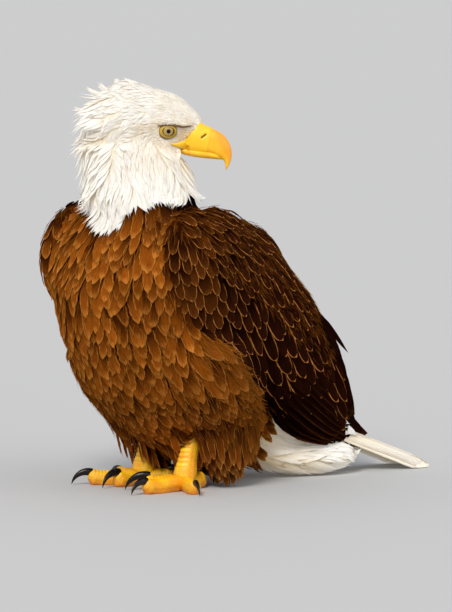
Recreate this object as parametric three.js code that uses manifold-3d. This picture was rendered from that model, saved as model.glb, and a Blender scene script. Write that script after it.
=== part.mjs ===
import * as THREE from "three";
import { mergeVertices } from "three/addons/utils/BufferGeometryUtils.js";
import Module from "manifold-3d";

// A bald eagle standing at rest on level ground with its head turned over its left shoulder.
// Life size, millimetres, +Z up. The bird faces -Y and its left side is +X.
// Places below are measured from the point on the ground midway between its feet.

const wasm = await Module();
wasm.setup();

// ---------------------------------------------------------------- driving sizes
const GAP = 0.4; // clearance between neighbouring solids
const FOOT_SPREAD = 90; // between the two tarsi
const LEFT_FOOT_LEAD = 15; // how far the left foot stands ahead of the right
const TOE_OUT = { left: -2, right: 42 }; // degrees that each foot turns outwards

const TARSUS = { length: 96, ankleBack: 24, radius: 11 };
const CLAW_SWEEP = 100; // degrees of arc in each claw
const CLAW_RISE = 22; // degrees that a claw leaves its toe upwards
// length to the claw, heading from straight ahead (towards the bird's midline), thickness, claw chord
const TOES = {
  inner: { length: 50, heading: 42, radius: 8.2, claw: 38, clawRadius: 5.2 },
  middle: { length: 72, heading: 2, radius: 8, claw: 33, clawRadius: 4.6 },
  outer: { length: 56, heading: -60, radius: 7.4, claw: 29, clawRadius: 4.2 },
  hind: { length: 38, heading: 172, radius: 8.6, claw: 40, clawRadius: 5.6 },
};

const HEAD = { place: [0, -46, 492], turn: 127, nod: 2 }; // degrees to the left, degrees down
const EYE = { forward: 39.5, side: 24.8, up: -4, radius: 12 };
const TAIL = { length: 275, yaw: 20, root: [4, 200, 94], width: 92, thickness: 9, arch: 18 };

// Where the folded wing parts into coverts, secondaries and primaries, and how its cuts slope.
const WING_CUTS = { secondariesFrom: 150, primariesFrom: 262, slope: 24, span: 1200 };

const colours = {
  white: { color: 0xf2eee4, roughness: 0.75 },
  breast: { color: 0x7a4a1c, roughness: 0.7 },
  wing: { color: 0x3a2314, roughness: 0.65 },
  flight: { color: 0x1d1411, roughness: 0.55 },
  bill: { color: 0xf2b60e, roughness: 0.35 },
  foot: { color: 0xf0a312, roughness: 0.5 },
  claw: { color: 0x0d0b0c, roughness: 0.25 },
  eye: { color: 0xd9b24a, roughness: 0.08 },
};

// ---------------------------------------------------------------- shaping
const degrees = THREE.MathUtils.degToRad;

// Closed body swept through stations of { at, side, back, front, lean, tuck }: half sizes to the
// sides, above and below the line, and how far the upper and lower edges bend inwards.
// ends are the shares of the length that round off.
function sweep(stations, { around = 20, along = 18, ends = [0.3, 0.3], across = [1, 0, 0] } = {}) {
  const through = (pick) => new THREE.CatmullRomCurve3(stations.map((s) => new THREE.Vector3(...pick(s))));
  const line = through((s) => s.at);
  const sizes = through((s) => [s.side, s.back, s.front ?? s.back]);
  const bends = through((s) => [s.lean ?? 0, s.tuck ?? 0, 0]);
  const geometry = new THREE.SphereGeometry(1, around, along);
  const points = geometry.attributes.position;
  const ring = new THREE.Vector3();
  const sideways = new THREE.Vector3(...across);
  for (let i = 0; i < points.count; i++) {
    ring.fromBufferAttribute(points, i);
    const share = (1 - ring.y) / 2;
    const place = line.getPoint(share);
    const forward = line.getTangent(share);
    const size = sizes.getPoint(share);
    const bend = bends.getPoint(share);
    const side = sideways.clone().addScaledVector(forward, -sideways.dot(forward)).normalize();
    const back = new THREE.Vector3().crossVectors(side, forward);
    const turn = Math.atan2(ring.z, ring.x);
    const pole = Math.hypot(ring.x, ring.z) < 1e-6;
    const closing = pole ? 0 : cap(share, ends[0]) * cap(1 - share, ends[1]);
    const rise = Math.sin(turn);
    const bent = (rise > 0 ? bend.x : bend.y) * Math.abs(rise) ** 3;
    place.addScaledVector(side, (size.x * Math.cos(turn) - bent) * closing);
    place.addScaledVector(back, (rise > 0 ? size.y : size.z) * rise * closing);
    points.setXYZ(i, place.x, place.y, place.z);
  }
  return facingOut(geometry);
}

function cap(share, end) {
  return share >= end ? 1 : Math.sqrt(Math.max(0, 1 - (1 - share / end) ** 2));
}

function facingOut(geometry) {
  const bare = geometry.clone();
  bare.deleteAttribute("normal");
  bare.deleteAttribute("uv");
  const merged = mergeVertices(bare, 1e-4);
  const index = [];
  const at = merged.attributes.position;
  const [a, b, c] = [new THREE.Vector3(), new THREE.Vector3(), new THREE.Vector3()];
  let volume = 0;
  for (let i = 0; i < merged.index.count; i += 3) {
    const corner = [0, 1, 2].map((k) => merged.index.getX(i + k));
    if (new Set(corner).size < 3) continue;
    index.push(...corner);
    a.fromBufferAttribute(at, corner[0]);
    b.fromBufferAttribute(at, corner[1]);
    c.fromBufferAttribute(at, corner[2]);
    volume += a.dot(b.cross(c));
  }
  if (volume < 0) index.reverse();
  merged.setIndex(index);
  return merged;
}

// The same shape with its surface moved out by a distance.
function grown(geometry, distance = GAP) {
  const bigger = geometry.clone();
  bigger.computeVertexNormals();
  const { position, normal } = bigger.attributes;
  for (let i = 0; i < position.count; i++) {
    position.setXYZ(
      i,
      position.getX(i) + distance * normal.getX(i),
      position.getY(i) + distance * normal.getY(i),
      position.getZ(i) + distance * normal.getZ(i),
    );
  }
  bigger.deleteAttribute("normal");
  return bigger;
}

function solid(geometry) {
  return new wasm.Manifold(
    new wasm.Mesh({
      numProp: 3,
      vertProperties: new Float32Array(geometry.attributes.position.array),
      triVerts: new Uint32Array(geometry.index.array),
    }),
  );
}

function geometryOf(made) {
  const mesh = made.getMesh();
  const geometry = new THREE.BufferGeometry();
  geometry.setAttribute("position", new THREE.BufferAttribute(new Float32Array(mesh.vertProperties), 3));
  geometry.setIndex(new THREE.BufferAttribute(new Uint32Array(mesh.triVerts), 1));
  return geometry;
}

// What is left of a shape, its largest piece, once its neighbours and the clearance to them are cut away.
function cut(geometry, ...neighbours) {
  let left = solid(geometry);
  for (const neighbour of neighbours) left = left.subtract(solid(grown(neighbour)));
  return geometryOf(largest(left.decompose()));
}

function largest(pieces) {
  return pieces.sort((a, b) => b.volume() - a.volume())[0];
}

function moved(geometry, matrix) {
  return geometry.clone().applyMatrix4(matrix);
}

function mirrored(geometry) {
  return facingOut(geometry.clone().applyMatrix4(new THREE.Matrix4().makeScale(-1, 1, 1)));
}

// A slab that trims what would sink below the ground, which leaves small flats to stand on.
const ground = facingOut(new THREE.BoxGeometry(3000, 3000, 100).translate(0, 0, -50 - GAP));

const eagle = new THREE.Group();
eagle.name = "bald_eagle";

function add(parent, name, geometry, look) {
  const mesh = new THREE.Mesh(geometry, new THREE.MeshStandardMaterial({ metalness: 0, ...look }));
  mesh.name = name;
  parent.add(mesh);
  return mesh;
}

// ---------------------------------------------------------------- head, in its own frame
// The head's frame: +X is forwards along the bill, +Y its left, +Z up, from the middle of the skull.
const headFrame = new THREE.Group();
headFrame.position.set(...HEAD.place);
headFrame.rotation.set(0, degrees(HEAD.nod), degrees(HEAD.turn - 90), "ZYX");
headFrame.updateMatrix();
eagle.add(headFrame);

// Taken along with a line that runs forwards, this makes a sweep's back side its upper side.
const leftward = [0, -1, 0];

const skull = sweep(
  [
    { at: [-72, 0, -16], side: 32, back: 32, front: 40 },
    { at: [-50, 0, -5], side: 45, back: 50, front: 54 },
    { at: [-18, 0, 0], side: 47, back: 57, front: 60 },
    { at: [18, 0, 0], side: 41, back: 52, front: 52 },
    { at: [46, 0, -3], side: 31, back: 46, front: 43 },
    { at: [65, 0, -8], side: 22, back: 34, front: 34 },
    { at: [78, 0, -14], side: 15, back: 20, front: 18 },
  ],
  { around: 18, along: 14, ends: [0.26, 0.06], across: leftward },
);

const eyeballs = [1, -1].map((side) =>
  facingOut(
    new THREE.SphereGeometry(EYE.radius, 12, 8)
      .rotateX(Math.PI / 2)
      .translate(EYE.forward, side * EYE.side, EYE.up),
  ),
);

// Upper bill: the cere stands proud, then the culmen arches over into the hook.
const upperBill = sweep(
  [
    { at: [60, 0, -16], side: 17, back: 14, front: 14 },
    { at: [78, 0, -13], side: 17.5, back: 19, front: 19 },
    { at: [93, 0, -17], side: 15, back: 19, front: 19.5 },
    { at: [105, 0, -25.5], side: 11, back: 16, front: 14 },
    { at: [114, 0, -37], side: 7, back: 10, front: 7 },
    { at: [117, 0, -48], side: 4, back: 5.4, front: 4.6 },
    { at: [115.5, 0, -59], side: 1, back: 1.2, front: 1.2 },
  ],
  { around: 12, along: 12, ends: [0.08, 0.05], across: leftward },
);

const lowerBill = sweep(
  [
    { at: [44, 0, -30], side: 20, back: 4, front: 4.5 },
    { at: [62, 0, -34], side: 18, back: 5, front: 7 },
    { at: [82, 0, -37], side: 13.5, back: 6, front: 6.4 },
    { at: [107, 0, -40], side: 6.5, back: 4, front: 4 },
  ],
  { around: 10, along: 7, ends: [0.1, 0.12], across: leftward },
);

add(headFrame, "head", cut(skull, upperBill, lowerBill, ...eyeballs), colours.white);
add(headFrame, "eye_left", eyeballs[0], colours.eye);
add(headFrame, "eye_right", eyeballs[1], colours.eye);
add(headFrame, "bill_upper", upperBill, colours.bill);
add(headFrame, "bill_lower", cut(lowerBill, upperBill), colours.bill);

const headInPlace = [skull, upperBill, lowerBill].map((shape) => moved(shape, headFrame.matrix));

// ---------------------------------------------------------------- neck, trunk and thighs
// The ruffled neck is widest along the line that the turned head looks.
const lookingAcross = new THREE.Vector3(1, 0, 0).applyQuaternion(headFrame.quaternion).toArray();

const neckShape = sweep(
  [
    { at: [-6, -52, 494], side: 62, back: 52, front: 52 },
    { at: [-6, -56, 452], side: 74, back: 62, front: 62 },
    { at: [1, -51, 412], side: 79, back: 66, front: 68 },
    { at: [6, -54, 374], side: 79, back: 66, front: 78 },
    { at: [-4, -76, 324], side: 66, back: 54, front: 70 },
  ],
  { around: 18, along: 10, ends: [0.3, 0.26], across: lookingAcross },
);

const trunkShape = sweep(
  [
    { at: [0, -48, 404], side: 74, back: 66, front: 60 },
    { at: [0, -45, 352], side: 116, back: 92, front: 98 },
    { at: [0, -30, 290], side: 130, back: 128, front: 142 },
    { at: [0, 10, 226], side: 122, back: 146, front: 152 },
    { at: [0, 70, 166], side: 104, back: 146, front: 144 },
    { at: [0, 140, 124], side: 78, back: 122, front: 116 },
    { at: [0, 215, 100], side: 46, back: 70, front: 72 },
  ],
  { around: 20, along: 14, ends: [0.2, 0.14] },
);

const thighShape = sweep(
  [
    { at: [82, -22, 262], side: 50, back: 70, front: 76 },
    { at: [88, -6, 196], side: 52, back: 98, front: 84 },
    { at: [82, 20, 138], side: 50, back: 100, front: 72 },
    { at: [66, 44, 84], side: 40, back: 84, front: 48 },
    { at: [50, 60, 40], side: 22, back: 46, front: 24 },
  ],
  { around: 14, along: 9, ends: [0.3, 0.16] },
);
const thighs = { left: thighShape, right: mirrored(thighShape) };

// ---------------------------------------------------------------- folded wings
const wingShape = sweep(
  [
    { at: [110, -110, 306], side: 16, back: 46, front: 48, lean: 8, tuck: 2 },
    { at: [116, -66, 310], side: 27, back: 74, front: 70, lean: 22, tuck: 4 },
    { at: [114, 0, 281], side: 28, back: 106, front: 86, lean: 50, tuck: 6 },
    { at: [106, 80, 228], side: 28, back: 124, front: 76, lean: 76, tuck: 6 },
    { at: [92, 160, 170], side: 24, back: 136, front: 72, lean: 80, tuck: 8 },
    { at: [78, 228, 118], side: 17, back: 112, front: 68, lean: 60, tuck: 10 },
    { at: [62, 290, 70], side: 11, back: 68, front: 50, lean: 32, tuck: 8 },
    { at: [45, 345, 30], side: 6, back: 32, front: 24, lean: 8, tuck: 2 },
    { at: [37, 378, 14], side: 3, back: 7, front: 7 },
  ],
  { around: 16, along: 18, ends: [0.08, 0.05] },
);
const wings = { left: wingShape, right: mirrored(wingShape) };

// ---------------------------------------------------------------- tail
// The folded tail slopes down until its end lies on the ground.
const tailDrop = Math.asin((TAIL.root[2] - TAIL.arch * 0.15) / TAIL.length);
const tailFrame = new THREE.Matrix4().compose(
  new THREE.Vector3(...TAIL.root),
  new THREE.Quaternion().setFromEuler(new THREE.Euler(-tailDrop, 0, -degrees(TAIL.yaw), "ZYX")),
  new THREE.Vector3(1, 1, 1),
);

function foldedTail() {
  const { length, width, thickness, arch } = TAIL;
  const fan = sweep(
    [
      { at: [0, -20, 0], side: width * 0.3, back: thickness },
      { at: [0, length * 0.35, 0], side: width * 0.42, back: thickness * 0.8 },
      { at: [0, length * 0.7, 0], side: width * 0.5, back: thickness * 0.6 },
      { at: [0, length, 0], side: width * 0.5, back: thickness * 0.35 },
    ],
    { around: 12, along: 9, ends: [0.08, 0.14] },
  );
  // Its feathers lie roof-like, the outer ones lowest.
  const points = fan.attributes.position;
  for (let i = 0; i < points.count; i++) {
    const out = points.getX(i) / (width / 2);
    points.setZ(i, points.getZ(i) - arch * out * out);
  }
  return fan;
}

const tailShape = moved(foldedTail(), tailFrame);

const underTail = sweep(
  [
    { at: [14, 140, 84], side: 62, back: 40, front: 62 },
    { at: [34, 200, 60], side: 62, back: 44, front: 58 },
    { at: [54, 258, 40], side: 52, back: 36, front: 46 },
    { at: [70, 312, 20], side: 32, back: 18, front: 26 },
  ],
  { around: 13, along: 8, ends: [0.3, 0.22] },
);

const overTail = sweep(
  [
    { at: [0, 190, 156], side: 44, back: 26, front: 42 },
    { at: [12, 250, 112], side: 40, back: 18, front: 30 },
    { at: [32, 308, 72], side: 32, back: 10, front: 18 },
  ],
  { around: 12, along: 7, ends: [0.3, 0.25] },
);

// ---------------------------------------------------------------- feet
// As leftward above, for a line that runs towards -Y.
const leftwardOnFoot = [-1, 0, 0];

function tarsusShape() {
  const { length, ankleBack, radius } = TARSUS;
  return sweep(
    [
      { at: [0, ankleBack, length], side: radius * 1.05, back: radius * 1.15 },
      { at: [0, ankleBack * 0.6, length * 0.68], side: radius * 0.9, back: radius * 0.95 },
      { at: [0, ankleBack * 0.22, length * 0.36], side: radius * 0.95, back: radius * 1.05 },
      { at: [0, 0, 13], side: radius * 1.35, back: radius * 1.25 },
    ],
    { around: 10, along: 6, ends: [0.2, 0.14] },
  );
}

// A toe runs along -Y from the foot's middle: knuckles with pads under them, up to the claw's root.
function toeShape({ length, radius, claw }) {
  const tip = clawDrop(claw) + 1;
  return sweep(
    [
      { at: [0, 2, 12], side: radius * 0.9, back: radius * 0.8 },
      { at: [0, -length * 0.3, radius * 1.15], side: radius * 1.05, back: radius * 0.85, front: radius * 1.35 },
      { at: [0, -length * 0.6, radius * 0.95], side: radius * 0.95, back: radius * 0.85, front: radius * 0.98 },
      { at: [0, -length * 0.86, radius], side: radius * 0.95, back: radius * 0.85, front: radius * 1.15 },
      { at: [0, -length, tip * 0.8], side: radius * 0.72, back: radius * 0.66 },
    ],
    { around: 8, along: 7, ends: [0.12, 0.12], across: leftwardOnFoot },
  );
}

function clawBend(chord) {
  return chord / (2 * Math.sin(degrees(CLAW_SWEEP / 2)));
}

function clawDrop(chord) {
  const end = degrees(CLAW_SWEEP - CLAW_RISE);
  return clawBend(chord) * (Math.cos(degrees(CLAW_RISE)) - Math.cos(end));
}

function clawShape({ length, claw, clawRadius }) {
  const bend = clawBend(claw);
  const steps = 6;
  const stations = [];
  for (let i = 0; i <= steps; i++) {
    const share = i / steps;
    const turned = degrees(share * CLAW_SWEEP - CLAW_RISE);
    const ahead = bend * (Math.sin(turned) + Math.sin(degrees(CLAW_RISE)));
    const height = clawDrop(claw) + 1 + bend * (Math.cos(turned) - Math.cos(degrees(CLAW_RISE)));
    const size = clawRadius * (1 - 0.86 * share ** 1.4);
    stations.push({ at: [0, -length + 2 - ahead, height], side: size * 0.8, back: size });
  }
  return sweep(stations, { around: 6, along: 7, ends: [0.05, 0.04], across: leftwardOnFoot });
}

const tarsi = {};
const footPlace = { left: [FOOT_SPREAD / 2, -LEFT_FOOT_LEAD / 2], right: [-FOOT_SPREAD / 2, LEFT_FOOT_LEAD / 2] };
for (const [side, sign] of [["left", 1], ["right", -1]]) {
  const foot = new THREE.Group();
  foot.position.set(...footPlace[side], 0);
  foot.rotation.z = degrees(sign * TOE_OUT[side]);
  foot.updateMatrix();
  eagle.add(foot);
  const tarsus = tarsusShape();
  // The ankle stays behind the foot whichever way the toes turn.
  tarsus.rotateZ(-foot.rotation.z);
  tarsi[side] = moved(tarsus, foot.matrix);
  add(foot, `tarsus_${side}`, tarsus, colours.foot);
  const placed = [];
  for (const [name, toe] of Object.entries(TOES)) {
    const turn = new THREE.Matrix4().makeRotationZ(degrees(-sign * toe.heading));
    const claw = moved(clawShape(toe), turn);
    const whole = moved(toeShape(toe), turn);
    add(foot, `claw_${side}_${name}`, claw, colours.claw);
    add(foot, `toe_${side}_${name}`, cut(whole, claw, tarsus, ground, ...placed), colours.foot);
    placed.push(whole);
  }
}

// ---------------------------------------------------------------- body parts, fitted to their neighbours
add(eagle, "neck", cut(neckShape, ...headInPlace), colours.white);
add(eagle, "trunk", cut(trunkShape, neckShape, tarsi.left, tarsi.right), colours.breast);

// The tail's thin edges need a wider clearance than a plain cut leaves.
const puff = cut(underTail, grown(tailShape), trunkShape, ground);
for (const side of ["left", "right"]) {
  add(eagle, `thigh_${side}`, cut(thighs[side], trunkShape, tarsi[side]), colours.breast);
}

// The folded wing is one shape, parted across its length into covert, secondary and primary parts.
const { secondariesFrom, primariesFrom, slope, span } = WING_CUTS;
const partings = [
  { name: "coverts", from: secondariesFrom - span, to: secondariesFrom, look: colours.wing },
  { name: "secondaries", from: secondariesFrom, to: primariesFrom, look: colours.flight },
  { name: "primaries", from: primariesFrom, to: primariesFrom + span, look: colours.flight },
];
for (const [side, other] of [["left", "right"], ["right", "left"]]) {
  const neighbours = [trunkShape, neckShape, thighs[side], tailShape, ground];
  if (side === "right") neighbours.push(wings[other]);
  const whole = solid(cut(wings[side], ...neighbours));
  for (const { name, from, to, look } of partings) {
    const slab = new THREE.BoxGeometry(span, to - from - GAP, span).translate(0, (from + to) / 2, 0);
    slab.rotateX(degrees(-slope));
    const pieces = whole.intersect(solid(facingOut(slab))).decompose();
    add(eagle, `wing_${side}_${name}`, geometryOf(largest(pieces)), look);
  }
}

add(eagle, "tail", cut(tailShape, trunkShape, ground), colours.white);
add(eagle, "tail_coverts_under", cut(puff, wings.left, wings.right, ...Object.values(thighs)), colours.white);
add(eagle, "tail_coverts_over", cut(overTail, tailShape, trunkShape, wings.left, wings.right, underTail), colours.white);

// The part's origin is the middle of its box, on the ground.
const box = new THREE.Box3().setFromObject(eagle);
const middle = box.getCenter(new THREE.Vector3());
eagle.position.set(-middle.x, -middle.y, -box.min.z);

export default eagle;
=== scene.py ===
"""A life-size bald eagle at rest on level ground, looking back over its left shoulder."""

import math

import bmesh
import bpy
import numpy as np
from mathutils import Matrix, Vector
from mathutils.bvhtree import BVHTree
from mathutils.kdtree import KDTree


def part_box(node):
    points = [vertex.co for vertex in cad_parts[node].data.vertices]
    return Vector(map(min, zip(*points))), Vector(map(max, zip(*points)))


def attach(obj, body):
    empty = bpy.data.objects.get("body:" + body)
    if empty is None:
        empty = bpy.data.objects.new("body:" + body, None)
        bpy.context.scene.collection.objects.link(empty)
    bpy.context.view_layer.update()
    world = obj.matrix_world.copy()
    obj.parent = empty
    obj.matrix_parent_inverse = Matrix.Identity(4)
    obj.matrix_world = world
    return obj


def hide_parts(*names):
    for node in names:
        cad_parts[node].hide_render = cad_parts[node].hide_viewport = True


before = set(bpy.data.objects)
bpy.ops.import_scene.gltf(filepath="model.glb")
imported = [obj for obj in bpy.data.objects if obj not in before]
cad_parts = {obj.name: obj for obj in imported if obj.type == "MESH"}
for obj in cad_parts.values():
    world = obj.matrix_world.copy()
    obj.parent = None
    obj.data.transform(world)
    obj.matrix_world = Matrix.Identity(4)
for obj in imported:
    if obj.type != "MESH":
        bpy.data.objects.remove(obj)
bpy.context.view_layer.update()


# ---------------------------------------------------------------- skin
# The skin is one closed sheet from the crown to the root of the tail, hidden under the coat.
# The flesh solids are grown together and drawn in by the depth of the feathers on each part;
# then the eye hollows, brows and lores are pressed into the face.
MM = 0.001
SKIN_GRAIN = 3.25 * MM
MEETING = 0.5 * MM  # how far solids swell before they are grown together
WELD = 0.01 * MM
COAT_DEPTH = {
    "head": 4.0, "neck": 10.0, "trunk": 7.0, "thigh_left": 8.0, "thigh_right": 8.0,
    "wing_left_coverts": 5.0, "wing_right_coverts": 5.0,
    "wing_left_secondaries": 3.6, "wing_right_secondaries": 3.6,
    "wing_left_primaries": 3.4, "wing_right_primaries": 3.4,
    "tail_coverts_over": 6.0, "tail_coverts_under": 8.0,
}
PARTS = list(COAT_DEPTH)
HEAD_NOD = math.radians(2)
TAIL_YAW = math.radians(20)
TAIL_ROOT = np.array([4.0, 200.0])
EYE_FORWARD, EYE_SIDE, EYE_UP = 39.5, 24.8, -4.0


def middle(node):
    low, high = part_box(node)
    return (low + high) / 2


def new_piece(name, made):
    """Links a new object for a bmesh or a mesh; every piece of the bird rides on its one body."""
    mesh = made
    if isinstance(made, bmesh.types.BMesh):
        mesh = bpy.data.meshes.new(name)
        made.to_mesh(mesh)
        made.free()
    piece = bpy.data.objects.new(name, mesh)
    bpy.context.scene.collection.objects.link(piece)
    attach(piece, "root")
    return piece


def settle(piece):
    """Applies a piece's modifiers to its mesh."""
    seen = piece.evaluated_get(bpy.context.evaluated_depsgraph_get())
    mesh = bpy.data.meshes.new_from_object(seen)
    piece.modifiers.clear()
    piece.data = mesh


def read(items, field, width, kind=float):
    """One field of a mesh's vertices, edges, faces or loops, with a row for each of them."""
    values = np.empty(len(items) * width, kind)
    items.foreach_get(field, values)
    return values.reshape(-1, width)


def normals_of(mesh):
    mesh.update()
    return read(mesh.vertices, "normal", 3)


def keep_mark(mesh, name, values):
    store = mesh.attributes.new(name, "FLOAT", "POINT")
    store.data.foreach_set("value", np.asarray(values, dtype=np.float32))


def grown_together(name, parts, grain):
    """One closed sheet round some solids, in even faces."""
    bm = bmesh.new()
    for part in parts:
        bm.from_mesh(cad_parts[part].data)
    bmesh.ops.remove_doubles(bm, verts=bm.verts, dist=WELD)
    bm.normal_update()
    for vertex in bm.verts:
        vertex.co += vertex.normal * MEETING
    piece = new_piece(name, bm)
    grown = piece.modifiers.new("grown_together", "REMESH")
    grown.mode = "VOXEL"
    grown.voxel_size = grain
    settle(piece)
    return piece


def unit(vectors):
    return vectors / np.maximum(np.linalg.norm(vectors, axis=-1, keepdims=True), 1e-9)


def ramp(values, low, high):
    """0 below low, 1 above high, and a soft step between them."""
    share = np.clip((values - low) / (high - low), 0, 1)
    return share * share * (3 - 2 * share)


def hill(places, center, spread):
    """1 at a place, and softly less round it."""
    return np.exp(-(((places - center) / spread) ** 2).sum(axis=1))


# The head's own frame, in millimetres: forwards along the bill, to its left, and up.
left_axis = (middle("eye_left") - middle("eye_right")).normalized()
forward_axis = left_axis.cross(Vector((0, 0, 1))).normalized()
forward_axis = Matrix.Rotation(HEAD_NOD, 3, left_axis) @ forward_axis
up_axis = forward_axis.cross(left_axis)
head_axes = np.array([forward_axis, left_axis, up_axis])
eyes_middle = np.array((middle("eye_left") + middle("eye_right")) / 2)
head_place = eyes_middle - np.array([EYE_FORWARD, 0, EYE_UP]) * MM @ head_axes


def in_head(points):
    return (points - head_place) @ head_axes.T / MM


def from_head(points):
    return np.asarray(points, float) * MM @ head_axes + head_place


# Places on the body are told in millimetres from the ground midway between the feet.
ANKLE_LEAN = 10.39
stand = (middle("tarsus_left") + middle("tarsus_right")) / 2 - Vector((0, ANKLE_LEAN * MM, 0))
stand = np.array((stand.x, stand.y, 0.0))


def in_body(points):
    return (points - stand) / MM


def from_body(points):
    return np.asarray(points, float) * MM + stand


skin = grown_together("skin", PARTS, SKIN_GRAIN)
skin_points = read(skin.data.vertices, "co", 3)
count = len(skin_points)
edges = read(skin.data.edges, "vertices", 2, int)
valence = np.bincount(edges.ravel(), minlength=count)


def evened(values, times):
    """Values at the skin's vertices, evened out between neighbours."""
    for _ in range(times):
        total = np.bincount(edges[:, 0], values[edges[:, 1]], count)
        total += np.bincount(edges[:, 1], values[edges[:, 0]], count)
        values = (values + total / valence) / 2
    return values


def skin_normals():
    skin.data.vertices.foreach_set("co", skin_points.ravel())
    return normals_of(skin.data)


reach = np.empty((len(PARTS), count))
for row, part in enumerate(PARTS):
    tree = BVHTree.FromObject(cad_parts[part], bpy.context.evaluated_depsgraph_get())
    reach[row] = [tree.find_nearest(Vector(point))[3] for point in skin_points]
skin_part = reach.argmin(axis=0)
is_head = (skin_part == PARTS.index("head")) * 1.0
is_neck = (skin_part == PARTS.index("neck")) * 1.0

FACE_THINNER = 1.8
depth = np.array(list(COAT_DEPTH.values()))[skin_part]
face = ramp(in_head(skin_points)[:, 0], -10, 40) * is_head
depth = evened(depth - FACE_THINNER * face, times=14)
skin_points = skin_points - skin_normals() * depth[:, None] * MM
smooth = np.stack([evened(column, times=4) for column in skin_points.T], axis=1)
skin_points += (smooth - skin_points) * (1 - 0.5 * face[:, None])

# Under the folded wings the tail's lower coverts are pressed narrow.
local = in_body(skin_points)
under_wing = (skin_part == PARTS.index("tail_coverts_under")) * ramp(local[:, 2], 18, 44) * 1.0
under_wing = evened(under_wing, times=10)
puff_middle = TAIL_ROOT[0] + math.tan(TAIL_YAW) * (local[:, 1] - TAIL_ROOT[1])
skin_points[:, 0] -= (local[:, 0] - puff_middle) * 0.5 * under_wing * MM

# Where the skin is raised, how far round, and by how much. On the body, the feathers swell
# over the shoulders and between them.
SWELLS = [
    ((-97, -60, 374), (36, 42, 34), 11), ((97, -60, 374), (36, 42, 34), 6),
    ((-124, -86, 284), (40, 40, 52), 8), ((70, 20, 372), (40, 44, 40), 8),
    ((-70, 20, 372), (40, 44, 40), 8), ((44, 128, 338), (50, 60, 50), 16),
    ((-44, 128, 338), (50, 60, 50), 16),
]
# On the head, the brow is a shelf over the eye, and before the eye the lores sink.
HEAD_FORMS = [
    ((38, 30, 9.5), (17, 14, 4.5), 4.6), ((58, 21, 5.5), (12, 12, 3.8), 3.4),
    ((60, 18, -9), (8, 12, 8), -2.4), ((40, 30, -5), (11, 14, 8), -0.8),
    ((30, 34, -24), (16, 14, 9), 1.2), ((-22, 8, 52), (20, 26, 18), 7.0),
    ((-52, 0, 40), (20, 40, 20), -5.0), ((66, 0, 24), (14, 18, 12), -1.6),
    ((-72, 0, -34), (16, 50, 22), 7.0), ((56, 0, -64), (20, 34, 24), 3.0),
]
either_side = in_head(skin_points)
either_side[:, 1] = np.abs(either_side[:, 1])
skin_normal = skin_normals()
local = in_body(skin_points)
raise_by = np.zeros(count)
for center, spread, high in SWELLS:
    raise_by += high * hill(local, center, spread) * (1 - is_head) * (1 - is_neck)
raise_by = evened(raise_by, times=12)
for center, spread, high in HEAD_FORMS:
    raise_by += high * (hill(either_side, center, spread) * (is_head + is_neck))
skin_points += skin_normal * raise_by[:, None] * MM
skin_normal = skin_normals()

bm = bmesh.new()
bm.from_mesh(skin.data)
bmesh.ops.triangulate(bm, faces=bm.faces)
bm.to_mesh(skin.data)
bm.free()
skin.data.update()

# The coat's bake map is this unwrap: every feather's patch lies at its root's place on it.
skin.data.uv_layers.new(name="OFBake")
bpy.context.view_layer.objects.active = skin
skin.select_set(True)
bpy.ops.object.mode_set(mode="EDIT")
bpy.ops.mesh.select_all(action="SELECT")
bpy.ops.uv.smart_project(angle_limit=math.radians(70), island_margin=0.003)
bpy.ops.object.mode_set(mode="OBJECT")

triangles = read(skin.data.polygons, "vertices", 3, int)
unwrap = read(skin.data.uv_layers["OFBake"].data, "uv", 2).reshape(-1, 3, 2)
corners = skin_points[triangles]
centres = corners.mean(axis=1)
cross = np.cross(corners[:, 1] - corners[:, 0], corners[:, 2] - corners[:, 0])
triangle_area = np.linalg.norm(cross, axis=1) / 2
triangle_part = skin_part[triangles[:, 0]]
triangle_normal = unit(skin_normal[triangles].sum(axis=1))
skin_tree = BVHTree.FromPolygons(skin_points.tolist(), triangles.tolist())


def on_skin(points):
    """Nearest places on the skin, their outward normals and their triangles."""
    found = [skin_tree.find_nearest(Vector(point)) for point in points]
    places = np.array([hit[0] for hit in found])
    faces = np.array([hit[2] for hit in found])
    return places, triangle_normal[faces], faces


def on_unwrap(points, faces):
    """Where places on the skin's triangles lie on its unwrap."""
    a, b, c = corners[faces].transpose(1, 0, 2)
    whole = cross[faces]
    scale = (whole**2).sum(axis=1)
    share_b = (np.cross(points - a, c - a) * whole).sum(axis=1) / scale
    share_c = (np.cross(b - a, points - a) * whole).sum(axis=1) / scale
    shares = np.clip(np.stack([1 - share_b - share_c, share_b, share_c], axis=1), 0, 1)
    return (unwrap[faces] * shares[:, :, None]).sum(axis=1)


def part_is(*names):
    return np.isin(triangle_part, [PARTS.index(name) for name in names])


# ---------------------------------------------------------------- face
# Short white feathers, like scales, cover the forehead, brows and cheeks, and thin out over
# the lores before the bill. As all over the coat, each feather is a thin closed vane that
# roots on the skin and follows the lie of its tract.


class Shade:
    """A value on its way through a look's nodes. Sums and products with it add Math nodes."""

    def __init__(self, look, socket):
        self.look = look
        self.socket = socket

    def math(self, operation, first, second=0.0):
        return self.look.node("ShaderNodeMath", {"operation": operation}, {0: first, 1: second})

    def __add__(self, other):
        return self.math("ADD", self, other)

    def __sub__(self, other):
        return self.math("SUBTRACT", self, other)

    def __rsub__(self, other):
        return self.math("SUBTRACT", other, self)

    def __mul__(self, other):
        return self.math("MULTIPLY", self, other)

    def __abs__(self):
        return self.math("ABSOLUTE", self)

    def most(self, other):
        return self.math("MAXIMUM", self, other)

    def between(self, low, high):
        """0 below low, 1 above high, and a soft step between them."""
        settings = {"interpolation_type": "SMOOTHSTEP"}
        return self.look.node("ShaderNodeMapRange", settings, {0: self, 1: low, 2: high})


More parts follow.
